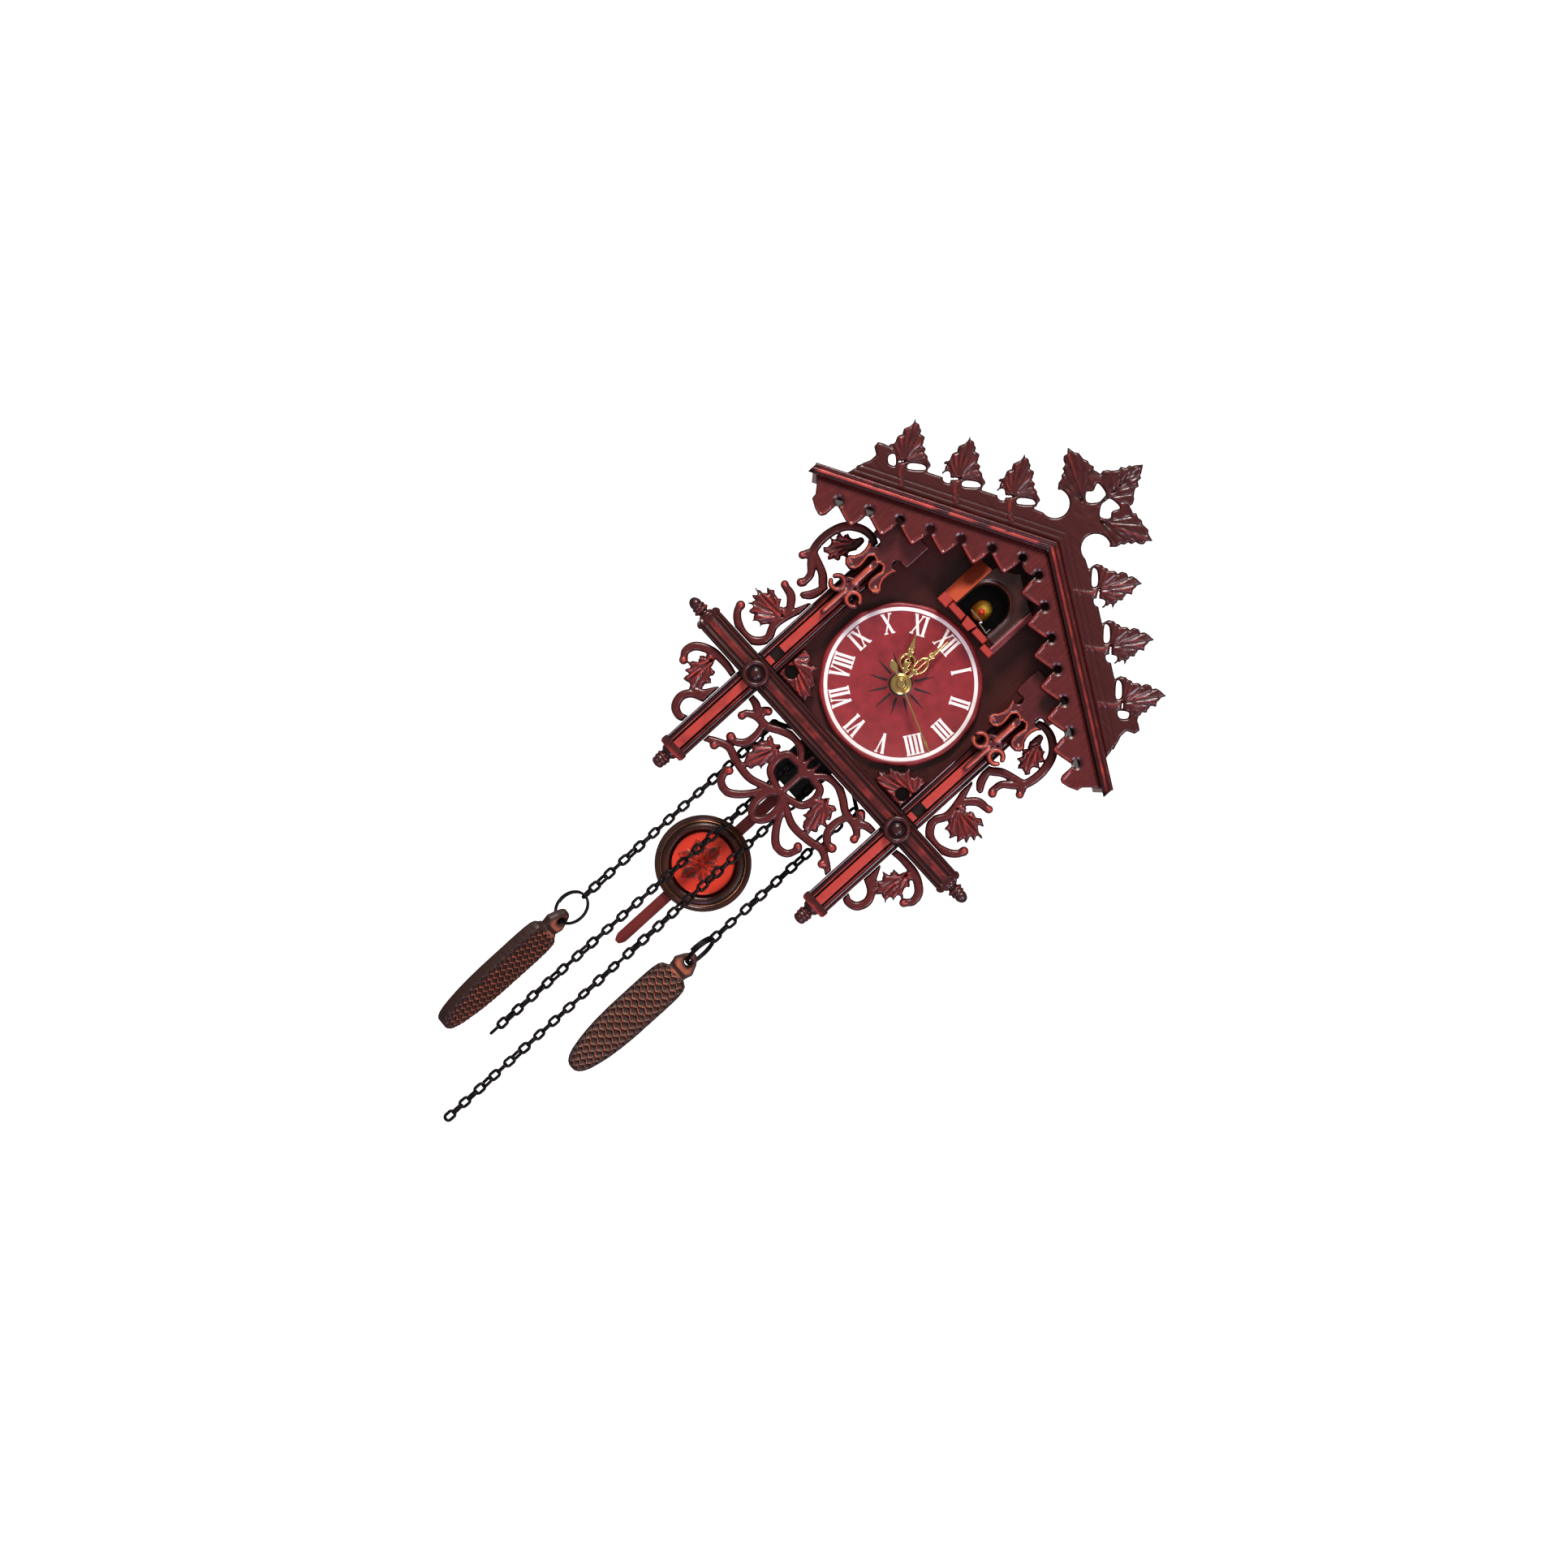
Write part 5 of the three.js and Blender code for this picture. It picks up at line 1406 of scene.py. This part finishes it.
class CLOCK_OT_posts(bpy.types.Operator):
    """Makes the two fluted posts with their turned feet and the bosses where the crossbar meets them"""

    bl_idname = "clock.posts"
    bl_label = "Posts"

    def execute(self, context):
        for side in SIDES:
            install(self.post(side), "case", "red_wood", "banded_z", f"post_{side}")
            install(self.boss(side), "case", "red_wood", "banded_x", f"boss_{side}")
        return {"FINISHED"}

    @staticmethod
    def flutes(x, half, front, back):
        """The post's section: a raised centre reed, two hollows and a rounded arris at each side."""
        right = [(0, -0.35), (1.7, -0.2), (2.35, 0.15), (2.75, 1.5), (3.3, 1.75), (3.7, 0.5), (4.1, 0.25),
                 (4.5, 0.75), (5.0, 1.9), (5.9, 2.2), (6.5, 1.2), (7.0, 1.0), (half, 2.2)]
        right = [(u, front + max(v, 0)) for u, v in right]
        cross = [(-u, y) for u, y in reversed(right)] + right[1:]
        cross += [(half, back), (-half, back)]
        return [(x + u, y) for u, y in cross]

    @classmethod
    def post(cls, side):
        low, high = span(f"post_{side}")
        x = (low[0] + high[0]) / 2
        front, back, half = low[1] + 0.4, high[1], POST_HALF
        section = cls.flutes(x, half, front, back)
        bar_low, bar_high = span("crossbar")
        notch = bar_high[1] + 0.35
        niche_low, niche_high, floor = -43.4, -36.0, front + 3.4
        heights = [high[2], niche_high, niche_high - 0.01, niche_low, niche_low - 0.01, bar_high[2] + 0.3,
                   bar_high[2] + 0.29, bar_low[2] - 0.29, bar_low[2] - 0.3, -115.5]
        vertices = []
        for z in heights:
            for x_, y in section:
                inside = bar_low[2] - 0.295 < z < bar_high[2] + 0.295
                hollow = niche_low - 0.005 < z < niche_high - 0.005 and abs(x_ - x) < 2.5 and y < front + 2
                vertices.append((x_, max(y, notch) if inside else (floor if hollow else y), z))
        rows, count = len(heights), len(section)
        faces = caps(rows, count) + loft(rows, count)
        shaft = mesh_object("post_shaft", vertices, faces, 35)
        # Lift across the post: the centre reed and the arrises bright, a painted highlight mixed with
        # wearing, and the hollows dark, painted shade.
        stops = [(0, 1.0), (2.35, 1.0), (2.75, 0.1), (3.3, 0.1), (3.7, 0.75), (4.1, 0.85), (4.5, 0.6),
                 (5.0, 0.3), (5.9, 0.25), (6.5, 0.55), (7.0, 0.6), (half, 0.3)]

        def worn_and_lit(u, y, z):
            # The hollow cut into the post's front gets the lowest lift: painted shade.
            in_hollow = niche_low - 0.02 < z < niche_high + 0.01 and y > floor - 0.5
            return 0.05 if in_hollow else steps_of(stops, abs(u - x))
        mark(shaft, worn_and_lit)
        ledge = [(8.0, -115.2), (8.3, -116.2), (8.3, -118.6), (7.3, -120.0)]
        ledge = flip(ledge, -1) + ledge[::-1]
        collar = prism("post_collar", ledge, (x, low[1], 0), (1, 0, 0), (0, 0, 1),
                       (0, high[1] - low[1], 0), 0)
        middle = (low[1] + high[1]) / 2
        profile = [(5.2, -119.9), (4.6, -121.6), (3.5, -122.6), (3.4, -123.3), (4.3, -124.2), (4.4, -125.0),
                   (3.9, -125.8), (4.2, -126.6), (4.1, -127.4), (3.6, -128.1), (3.8, -128.9), (3.5, -130.0),
                   (2.4, -131.0), (0.05, -131.5)]
        foot = lathe("post_foot", profile, (x, middle, 0), "up", 48, 2)
        # The foot's beads and the collar's lower part get a high lift, a painted highlight, and the grooves
        # between the beads a low one, painted shade.
        rings = [(-131.5, 0.5), (-129.5, 0.6), (-128.1, 0.2), (-127, 0.75), (-125.8, 0.2), (-124.6, 0.75),
                 (-123, 0.2), (-121, 0.55)]
        mark(foot, lambda u, y, z: steps_of(rings, z))
        mark(collar, lambda u, y, z: 0.75 if z < -118 else 0.45)
        return join_pieces(f"fluted_post_{side}", [shaft, collar, foot])

    @staticmethod
    def boss(side):
        low, high = span(f"boss_{side}")
        centre = ((low[0] + high[0]) / 2, high[1], (low[2] + high[2]) / 2)
        tall = high[1] - low[1]
        profile = [(0.05, tall - 0.5), (1.6, tall - 0.6), (3.0, tall - 1.2), (3.7, tall - 2.1),
                   (4.3, tall - 2.2), (5.2, tall - 0.6), (6.2, tall), (7.2, tall - 0.45), (7.8, tall - 1.6),
                   (7.9, 0.2), (7.6, 0), (0.05, 0)]
        boss = lathe(f"post_boss_{side}", profile, centre, "front", 64, sharp=70)
        # The boss's raised rings get a high lift, a painted highlight, and the hollow ring a low one, painted
        # shade.
        rings = [(0, 0.4), (1.6, 0.4), (3.0, 0.25), (4.0, 0.05), (5.0, 0.25), (6.2, 0.6), (7.0, 0.45),
                 (7.9, 0.2)]
        return mark(boss, lambda x, y, z: steps_of(rings, math.hypot(x - centre[0], z - centre[2])))


class CLOCK_OT_crossbar(bpy.types.Operator):
    """Makes the reeded crossbar with its flared collars and ringed finials"""

    bl_idname = "clock.crossbar"
    bl_label = "Crossbar"

    def execute(self, context):
        low, high = span("crossbar")
        front, back, z = low[1], high[1], BAR_Z
        right = [(0, 0.15), (1.3, 0.0), (2.4, 0.3), (2.9, 1.0), (3.5, 0.85), (4.3, 0.5), (5.1, 1.0),
                 (5.5, 1.9), (6.2, 1.7), (6.9, 2.2), (BAR_HALF, 3.4)]
        cross = [(-u, v) for u, v in reversed(right)] + right[1:]
        cross += [(BAR_HALF, back - front), (-BAR_HALF, back - front)]
        stations = [(-101.2, 0.86), (-100.4, 1.0), (-99.2, 1.1), (-97.8, 1.09), (-97.0, 0.97), (-96.4, 1.0),
                    (96.4, 1.0), (97.0, 0.97), (97.8, 1.09), (99.2, 1.1), (100.4, 1.0), (101.2, 0.86)]
        middle = (front + back) / 2
        vertices = []
        for x, scale in stations:
            for u, v in cross:
                y = min(max(middle + (front + v - middle) * scale, front), back)
                vertices.append((x, y, z + u * scale))
        rows, count = len(stations), len(cross)
        faces = caps(rows, count) + loft(rows, count)
        bar = mesh_object("bar", vertices, faces, 35)
        # Lift across the bar: the centre bead bright, a painted highlight mixed with wearing, and the coves
        # dark, painted shade.
        stops = [(0, 0.74), (1.3, 0.74), (2.4, 0.45), (2.9, 0.12), (3.5, 0.15), (4.3, 0.68), (5.1, 0.4),
                 (5.5, 0.15), (6.2, 0.45), (7.25, 0.15)]
        mark(bar, lambda x, y, u: steps_of(stops, abs(u - z)) if abs(x) < 97 else 0.5)
        pieces = [bar]
        for sign in (-1, 1):
            profile = [(4.6, 100.9), (4.2, 102.0), (3.0, 102.6), (3.1, 103.4), (4.4, 104.2), (4.5, 105.2),
                       (3.6, 106.0), (4.0, 106.8), (3.9, 107.7), (3.2, 108.3), (3.5, 109.2), (3.3, 110.4),
                       (2.7, 111.8), (1.6, 113.0), (0.05, 113.5)]
            profile = [(r, sign * h) for r, h in profile]
            finial = lathe("finial", profile, (0, middle, z), "right", 48, 2)
            # The finial's beads get a high lift, a painted highlight, and its necks a low one, painted shade.
            rings = [(2.6, 0.2), (4.4, 0.65)]
            mark(finial, lambda x, y, u: steps_of(rings, math.hypot(y - middle, u - z)))
            pieces.append(finial)
        install(join_pieces("reeded_bar", pieces), "case", "red_wood", "banded_x", "crossbar")
        return {"FINISHED"}


class CLOCK_OT_corbels(bpy.types.Operator):
    """Carves the two scrolled corbels under the roof"""

    bl_idname = "clock.corbels"
    bl_label = "Corbels"

    def execute(self, context):
        for side, sign in SIDES.items():
            low, high = span(f"corbel_{side}")
            middle = 57.2 if side == "left" else 58.4
            carving = self.carve(sign, middle, low, high)
            piece = carving.mesh(f"scrolled_corbel_{side}", high[1], low[1], crown=1.6, radius=1.1)
            install(piece, "case", "carved_wood", "corbel_wood", f"corbel_{side}")
        return {"FINISHED"}

    @staticmethod
    def carve(sign, middle, low, high):
        """Drawn outwards from the corbel's own middle line."""
        centre = (low[0] + high[0]) / 2

        def place(points):
            return [(centre + x * -sign, z) for x, z in points]

        c = Carving((low[0], low[2]), (high[0], high[2]), 0.35)
        top = high[2]
        right = [(14.0, top), (14.0, 47.5), (13.4, 44.6), (10.6, 44.2), (10.6, 40.4), (12.4, 40.0),
                 (10.8, 38.2), (9.9, 35.0), (10.0, 31.5), (11.2, 28.6), (13.3, 26.6), (13.4, 23.6),
                 (11.0, 21.4), (7.6, 21.2), (5.0, 23.2), (4.0, 26.6), (4.4, 30.4), (5.0, 33.6), (3.6, 35.6),
                 (1.6, 35.2), (0, 33.4)]
        c.blob(place([(0, top)] + right + flip(right[:-1], -1)[::-1]), 0.2)
        # A raised bead along the edges below z = 46; its lift also paints a highlight along those edges.
        highlight_bead = np.clip((46.0 - c.z) / 4.0, 0, 1) * np.exp(-(((c.field + 1.2) / 0.55) ** 2))
        c.height += 0.75 * highlight_bead
        for s in (-1, 1):
            c.drill(centre + s * 8.9, 42.2, 2.5)
            c.cut(c.distance_to(place([(s * 9, 41.2), (s * 9, 43.4), (s * 15, 43.0), (s * 15, 41.2)])))
            volute = arc(s * 6.4, 11.6, 3.9, 20 if s > 0 else 160, 330 if s > 0 else -150, 16)
            c.bar(place(volute), 3.6, 0.75, False)
            c.groove(place(volute), 1.1, -0.8)
            c.ball(centre + s * 10.4, 24.6, 1.7)
        c.bar(place([(0, 33.5), (0, 14)]), 4.6, 1.0, False)
        c.bar(place([(0, 16), (0, 5), (0.2, -6)]), 4.2, 0.6, False)
        c.bar(place([(-4, 17.5), (0, 19), (4, 17.5)]), 3.4, 0.8)
        c.groove(place([(0, 30), (0, 18)]), 1.6, -0.9)
        c.groove(place([(0, 12), (0, -4)]), 1.2, -0.9)
        return c


class CLOCK_OT_vines(bpy.types.Operator):
    """Carves the vines beside the posts and the leaves in the corners over the crossbar"""

    bl_idname = "clock.vines"
    bl_label = "Vines"

    def execute(self, context):
        for side, sign in SIDES.items():
            for vine, design in VINES.items():
                low, high = span(f"{vine}_{side}")
                carving = openwork(design, sign, low, high)
                piece = carving.mesh(f"carved_{vine}_{side}", high[1], low[1])
                install(piece, "case", "carved_wood", "carving", f"{vine}_{side}")
            low, high = span(f"corner_leaf_{side}")
            piece = openwork(CORNER_LEAF, sign, low, high).mesh(f"carved_corner_{side}", high[1], low[1], 1.6)
            install(piece, "case", "carved_wood", "carving", f"corner_leaf_{side}")
        return {"FINISHED"}


class CLOCK_OT_scroll(bpy.types.Operator):
    """Carves the scrolled tracery that hangs under the crossbar"""

    bl_idname = "clock.scroll"
    bl_label = "Bottom scroll"

    def execute(self, context):
        low, high = span("bottom_scroll")
        carving = Carving((low[0], low[2]), (high[0], high[2]))
        for sign in (-1, 1):
            fill(carving, SCROLL_HALF, sign, 4.9)
        carving.blob([(-3.2, -62.4), (3.2, -62.4), (4.2, -69), (2.0, -76), (1.9, -90), (-1.9, -90),
                      (-2.0, -76), (-4.2, -69)])
        carving.pierce([(0, -61.5), (1.9, -64.5), (1.2, -68), (0, -69.5), (-1.2, -68), (-1.9, -64.5)], 4)
        stay_clear(carving)
        piece = carving.mesh("carved_scroll", high[1], low[1])
        install(piece, "case", "carved_wood", "carving", "bottom_scroll")
        return {"FINISHED"}


def stay_clear(carving):
    """Keeps a carving off the posts and the crossbar."""
    gap = 0.3
    inner, outer = POST_X - POST_HALF - gap, POST_X + POST_HALF + gap
    width = np.abs(carving.x)
    carving.cut(np.maximum(inner - width, width - outer))
    reach = BAR_HALF + gap
    carving.cut(np.maximum(BAR_Z - reach - carving.z, carving.z - (BAR_Z + reach)))


def openwork(design, sign, low, high):
    """A pierced carving from its bars, leaves and balls, kept inside its frame node."""
    carving = Carving((low[0], low[2]), (high[0], high[2] + 4))
    fill(carving, design, sign, 5.2)
    stay_clear(carving)
    return carving


def fill(carving, design, sign, width):
    """Draws a design that is given for the left side."""
    side = -sign
    for points in design["bars"]:
        carving.bar(flip(points, side), width)
    for outline, base, tips in design["leaves"]:
        carving.leaf(flip(outline, side), flip([base], side)[0], flip(tips, side), 0.8)
    for x, z, radius in design["balls"]:
        carving.ball(x * side, z, radius)
    for x, z, radius in design.get("cuts", []):
        carving.drill(x * side, z, radius)
    for points in design.get("lines", []):
        carving.groove(flip(points, side), 0.6, 0.7, True)


VINES = {
    "vine_upper": {
        "bars": [
            [(-66.3, 41), (-72, 43), (-79, 41.5), (-86, 35.5), (-89, 25), (-88, 15), (-84, 9), (-79, 4),
             (-78, -2)],
            [(-86, 13), (-75, 9), (-70, 5), (-66.3, 3)],
            [(-87, 13), (-89.6, 8)],
            [(-68, 4), (-70, -3), (-73, -7)],
            [(-74, 37), (-75, 30)],
        ],
        "leaves": [(
            [(-86.4, 31.4), (-84.4, 27.6), (-86.2, 25.4), (-83.8, 22.6), (-85.4, 19.2), (-83.6, 16.6),
             (-80.6, 18.2), (-78, 15.2), (-76.8, 19.2), (-73.6, 19.8), (-74.4, 23.2), (-71.6, 25.4),
             (-73.6, 28.2), (-71.0, 32.2), (-74.6, 33.0), (-76.0, 36.2), (-79.2, 34.0), (-82.2, 34.6),
             (-82.8, 31.6)],
            (-75, 34),
            [(-83.4, 17.4), (-86.0, 30.8), (-86, 25), (-78, 15.6), (-73.8, 20.2), (-72.0, 25.6)],
        )],
        "balls": [(-79.2, -3.2, 2.5), (-90, 7.5, 2.1)],
    },
    "vine_middle": {
        "bars": [
            [(-66.3, -9), (-70, -20), (-71.5, -30), (-68.5, -38), (-73, -44.5), (-80, -46), (-87, -43.5),
             (-91, -40), (-92.3, -37)],
            [(-84, -11), (-77, -12.5), (-70.5, -20)],
        ],
        "leaves": [(
            [(-71, -19.4), (-74.6, -18.4), (-77, -20.4), (-79.4, -17.2), (-82.4, -18.4), (-85.6, -16.8),
             (-90, -19), (-87.4, -21.2), (-90.2, -22.6), (-95, -24), (-91.0, -25.8), (-92.4, -28.4),
             (-89, -28.8), (-91, -33), (-87.6, -32.2), (-86.6, -36.4), (-83.4, -34.4), (-81.6, -38.2),
             (-78.8, -35.6), (-76.2, -36.8), (-74.6, -32.6), (-71.5, -29)],
            (-71.5, -23.5),
            [(-93, -24.2), (-88.6, -19.4), (-82, -18.2), (-90.4, -31.6), (-85.8, -35.6), (-79.6, -36.6)],
        )],
        "balls": [(-92.3, -36.4, 2.6), (-84.6, -10.4, 2.1)],
    },
    "vine_lower": {
        "bars": [
            [(-66.3, -65.5), (-74, -64.5), (-84, -65.4), (-92, -70), (-94, -76), (-91.4, -80)],
            [(-66.3, -86), (-74, -89.5), (-77, -95), (-75, -101), (-70, -103), (-66.3, -101.5)],
            [(-84, -66), (-80, -71)],
            [(-74, -87), (-69.5, -84.5), (-66.3, -78)],
        ],
        "leaves": [(
            [(-83.4, -66.4), (-84.2, -70), (-87.4, -71.4), (-85.4, -75.0), (-89.4, -79.4), (-86.0, -80.4),
             (-86.8, -84.4), (-83.6, -84.0), (-84.4, -88.4), (-79.6, -86.8), (-76.4, -89.6), (-74.6, -85.4),
             (-71.2, -85.2), (-73.2, -80.6), (-70.0, -77.4), (-73.8, -75.8), (-73.4, -71.6), (-77.6, -71.6),
             (-79.0, -67.6)],
            (-80.5, -69),
            [(-80.6, -86.4), (-88.4, -79.2), (-86.4, -72.2), (-84.2, -87.4), (-75.4, -87.4), (-72.0, -79.0)],
        )],
        "balls": [(-91, -80.6, 2.4)],
    },
}

SCROLL_HALF = {
    "bars": [
        [(-1, -74), (-6, -69.6), (-11, -65), (-18, -63.9), (-25, -66.5), (-32, -70.6), (-38, -71),
         (-40.5, -66)],
        [(-34, -71), (-41, -71.6), (-46, -74.5)],
        [(-35, -71), (-33, -78), (-33.6, -85), (-37.6, -89.4), (-41.6, -90)],
        [(0, -90.5), (-8, -93.6), (-18, -97.4), (-30, -96.4), (-38, -94.4), (-45, -97), (-50.7, -100.6)],
        [(0, -68), (-6, -71.6), (-13, -72.6), (-15.4, -79), (-13, -86), (-6, -89), (0, -90)],
        [(0, -89), (-5, -95), (-6, -103), (-3.6, -108.5), (0, -111)],
        [(-6, -93), (-12.4, -104.6), (-20, -111.6), (-27, -110.4), (-30, -104)],
        [(-40, -71.5), (-45, -67.5), (-50.7, -66.5)],
    ],
    "leaves": [(
        [(-14.6, -76), (-17.6, -74.8), (-20, -71), (-22.4, -74.2), (-25.4, -72.2), (-28.6, -72.8),
         (-27.6, -76.6), (-30.0, -79.4), (-28.8, -81.6), (-31.4, -84), (-28.4, -86.0), (-29.8, -90),
         (-27.4, -92), (-27.2, -97.2), (-23.4, -94.4), (-21, -93.6), (-19.4, -89.6), (-17.0, -89.4),
         (-17.4, -84.6), (-14.4, -82)],
        (-19.5, -74),
        [(-26.6, -96.4), (-29.6, -83.8), (-28, -73.6), (-29, -90), (-18.2, -88.6), (-15, -78)],
    )],
    "balls": [(-38.4, -64.8, 2.6), (-46.4, -77.2, 2.5), (-41.9, -89.6, 2.7), (-44.6, -99.6, 2.6),
              (-28.4, -103, 2.5)],
}

CORNER_LEAF = {
    "bars": [],
    "leaves": [(
        [(-50.8, -26), (-47, -25.8), (-44, -27), (-42.4, -30.0), (-39.6, -28.2), (-36.8, -27.2),
         (-37.4, -31.8), (-34.4, -33.8), (-29.6, -36.2), (-31.8, -38.8), (-26.6, -41.4), (-29.2, -43.6),
         (-27.4, -46.9), (-50.8, -46.9)],
        (-50.8, -36),
        [(-28.6, -41.4), (-37.6, -28.4), (-31.4, -35.4), (-44.6, -26.8), (-29, -46.4), (-36, -46.6)],
    )],
    "balls": [],
    "cuts": [(-45.8, -40.6, 3.4)],
}


# ---- Pendulum ----------------------------------------------------------------------------------------------

class CLOCK_OT_pendulum(bpy.types.Operator):
    """Makes the pendulum: its rod, its turned bob and the carved disc on it"""

    bl_idname = "clock.pendulum"
    bl_label = "Pendulum"

    def execute(self, context):
        keep("pendulum_hanger", "steel", 0.15)
        low, high = span("pendulum_rod")
        x, half = (low[0] + high[0]) / 2, (high[0] - low[0]) / 2
        outline = [(-half, high[2]), (-half, low[2] + 4.2), (-half + 0.8, low[2] + 2.2), (-1.4, low[2] + 0.3),
                   (1.4, low[2] + 0.3), (half - 0.8, low[2] + 2.2), (half, low[2] + 4.2), (half, high[2])]
        stick = prism("pendulum_stick", [(x + u, v) for u, v in outline], (0, low[1], 0), (1, 0, 0),
                      (0, 0, 1), (0, high[1] - low[1], 0), 0.5)
        install(stick, "pendulum", "red_wood", "rod_wood", "pendulum_rod")
        low, high = span("pendulum_bob")
        centre = ((low[0] + high[0]) / 2, high[1], (low[2] + high[2]) / 2)
        tall = high[1] - low[1]
        profile = [(0.05, 0), (25.6, 0), (27.0, 0.8), (27.3, 2.2), (26.7, 3.6), (25.2, 4.9), (24.5, 4.5),
                   (24.0, 4.2), (23.5, 4.7), (22.6, 5.9), (21.2, tall), (20.0, tall - 0.15),
                   (18.9, tall - 0.9), (18.3, tall - 1.9), (18.0, tall - 2.1)]
        profile += [(0.05, tall - 2.1)]
        bob = lathe("turned_bob", profile, centre, "front", 128, sharp=60)
        install(bob, "pendulum", "dark_wood", "bob_wood", "pendulum_bob")
        line = lathe("bob_line", [(23.6, 4.5), (23.75, 4.95), (24.2, 4.75), (24.4, 4.4)], centre, "front",
                     128, closed=True)
        install(line, "pendulum", "gold", "copper_line")
        install(self.disc(centre, *span("bob_medallion")), "pendulum", "disc_red", "disc_relief",
                "bob_medallion")
        return {"FINISHED"}

    @staticmethod
    def disc(centre, low, high):
        cx, cz = centre[0], centre[2]
        c = Carving((low[0], low[2]), (high[0], high[2]), 0.3)
        radius = (high[0] - low[0]) / 2
        c.field = np.hypot(c.x - cx, c.z - cz) - radius + 0.1
        relief = Carving((low[0], low[2]), (high[0], high[2]), 0.3)
        for turn, long in ((20, 10.5), (88, 12.0), (150, 12.5), (205, 13.0), (262, 13.0), (322, 11.0)):
            a = math.radians(turn)
            ax, az = math.cos(a), math.sin(a)
            bx, bz = -az, ax
            k = long / 9
            lobes = [(0, 1.5), (2.5, 3.4), (4.0, 2.8), (5.2, 4.4), (6.4, 2.8), (7.6, 2.6), (10.4, 0),
                     (7.6, -2.6), (6.4, -2.8), (5.2, -4.4), (4.0, -2.8), (2.5, -3.4), (0, -1.5)]
            place = [(cx - 0.5 + (ax * u + bx * v) * k, cz + (az * u + bz * v) * k) for u, v in lobes]
            relief.join(relief.distance_to(place), 0.3)
            relief.groove([(cx, cz), (cx + ax * long, cz + az * long)], 0.5, 1.1)
            for v in (2.8, -2.8):
                tip = (cx + (ax * 5.4 + bx * v) * k, cz + (az * 5.4 + bz * v) * k)
                relief.groove([(cx + ax * 2.6, cz + az * 2.6), tip], 0.4, 0.8)
        rise = np.clip(-relief.field / 0.7, 0, 1)
        c.height = rise * (0.9 + relief.height) - 0.9
        return c.mesh("carved_disc", high[1], low[1] + 0.2, crown=0.2, radius=0.5)


# ---- Panel and registration --------------------------------------------------------------------------------

OPERATORS = [
    CLOCK_OT_stage, CLOCK_OT_chains, CLOCK_OT_case, CLOCK_OT_roof, CLOCK_OT_crest,
    CLOCK_OT_door_frame, CLOCK_OT_bird, CLOCK_OT_dial, CLOCK_OT_hands, CLOCK_OT_posts,
    CLOCK_OT_crossbar, CLOCK_OT_corbels, CLOCK_OT_vines, CLOCK_OT_scroll, CLOCK_OT_pendulum,
]


class CLOCK_PT_panel(bpy.types.Panel):
    """Lists the clock's settings and the steps that build it"""

    bl_label = "Cuckoo Clock"
    bl_idname = "CLOCK_PT_panel"
    bl_space_type = "VIEW_3D"
    bl_region_type = "UI"
    bl_category = "Clock"

    def draw(self, context):
        for group in (context.scene.clock_sizes, context.scene.clock_finishes):
            box = self.layout.box()
            for name in group.__annotations__:
                box.prop(group, name)
        for operator in OPERATORS:
            self.layout.operator(operator.bl_idname)


CLASSES = [ClockFinishes, ClockSizes, *OPERATORS, CLOCK_PT_panel]


def register():
    for kind in CLASSES:
        bpy.utils.register_class(kind)
    bpy.types.Scene.clock_finishes = bpy.props.PointerProperty(type=ClockFinishes)
    bpy.types.Scene.clock_sizes = bpy.props.PointerProperty(type=ClockSizes)


def unregister():
    del bpy.types.Scene.clock_finishes
    del bpy.types.Scene.clock_sizes
    for kind in reversed(CLASSES):
        bpy.utils.unregister_class(kind)


def main():
    register()
    for operator in OPERATORS:
        group, name = operator.bl_idname.split(".")
        getattr(getattr(bpy.ops, group), name)()


if __name__ == "__main__":
    main()
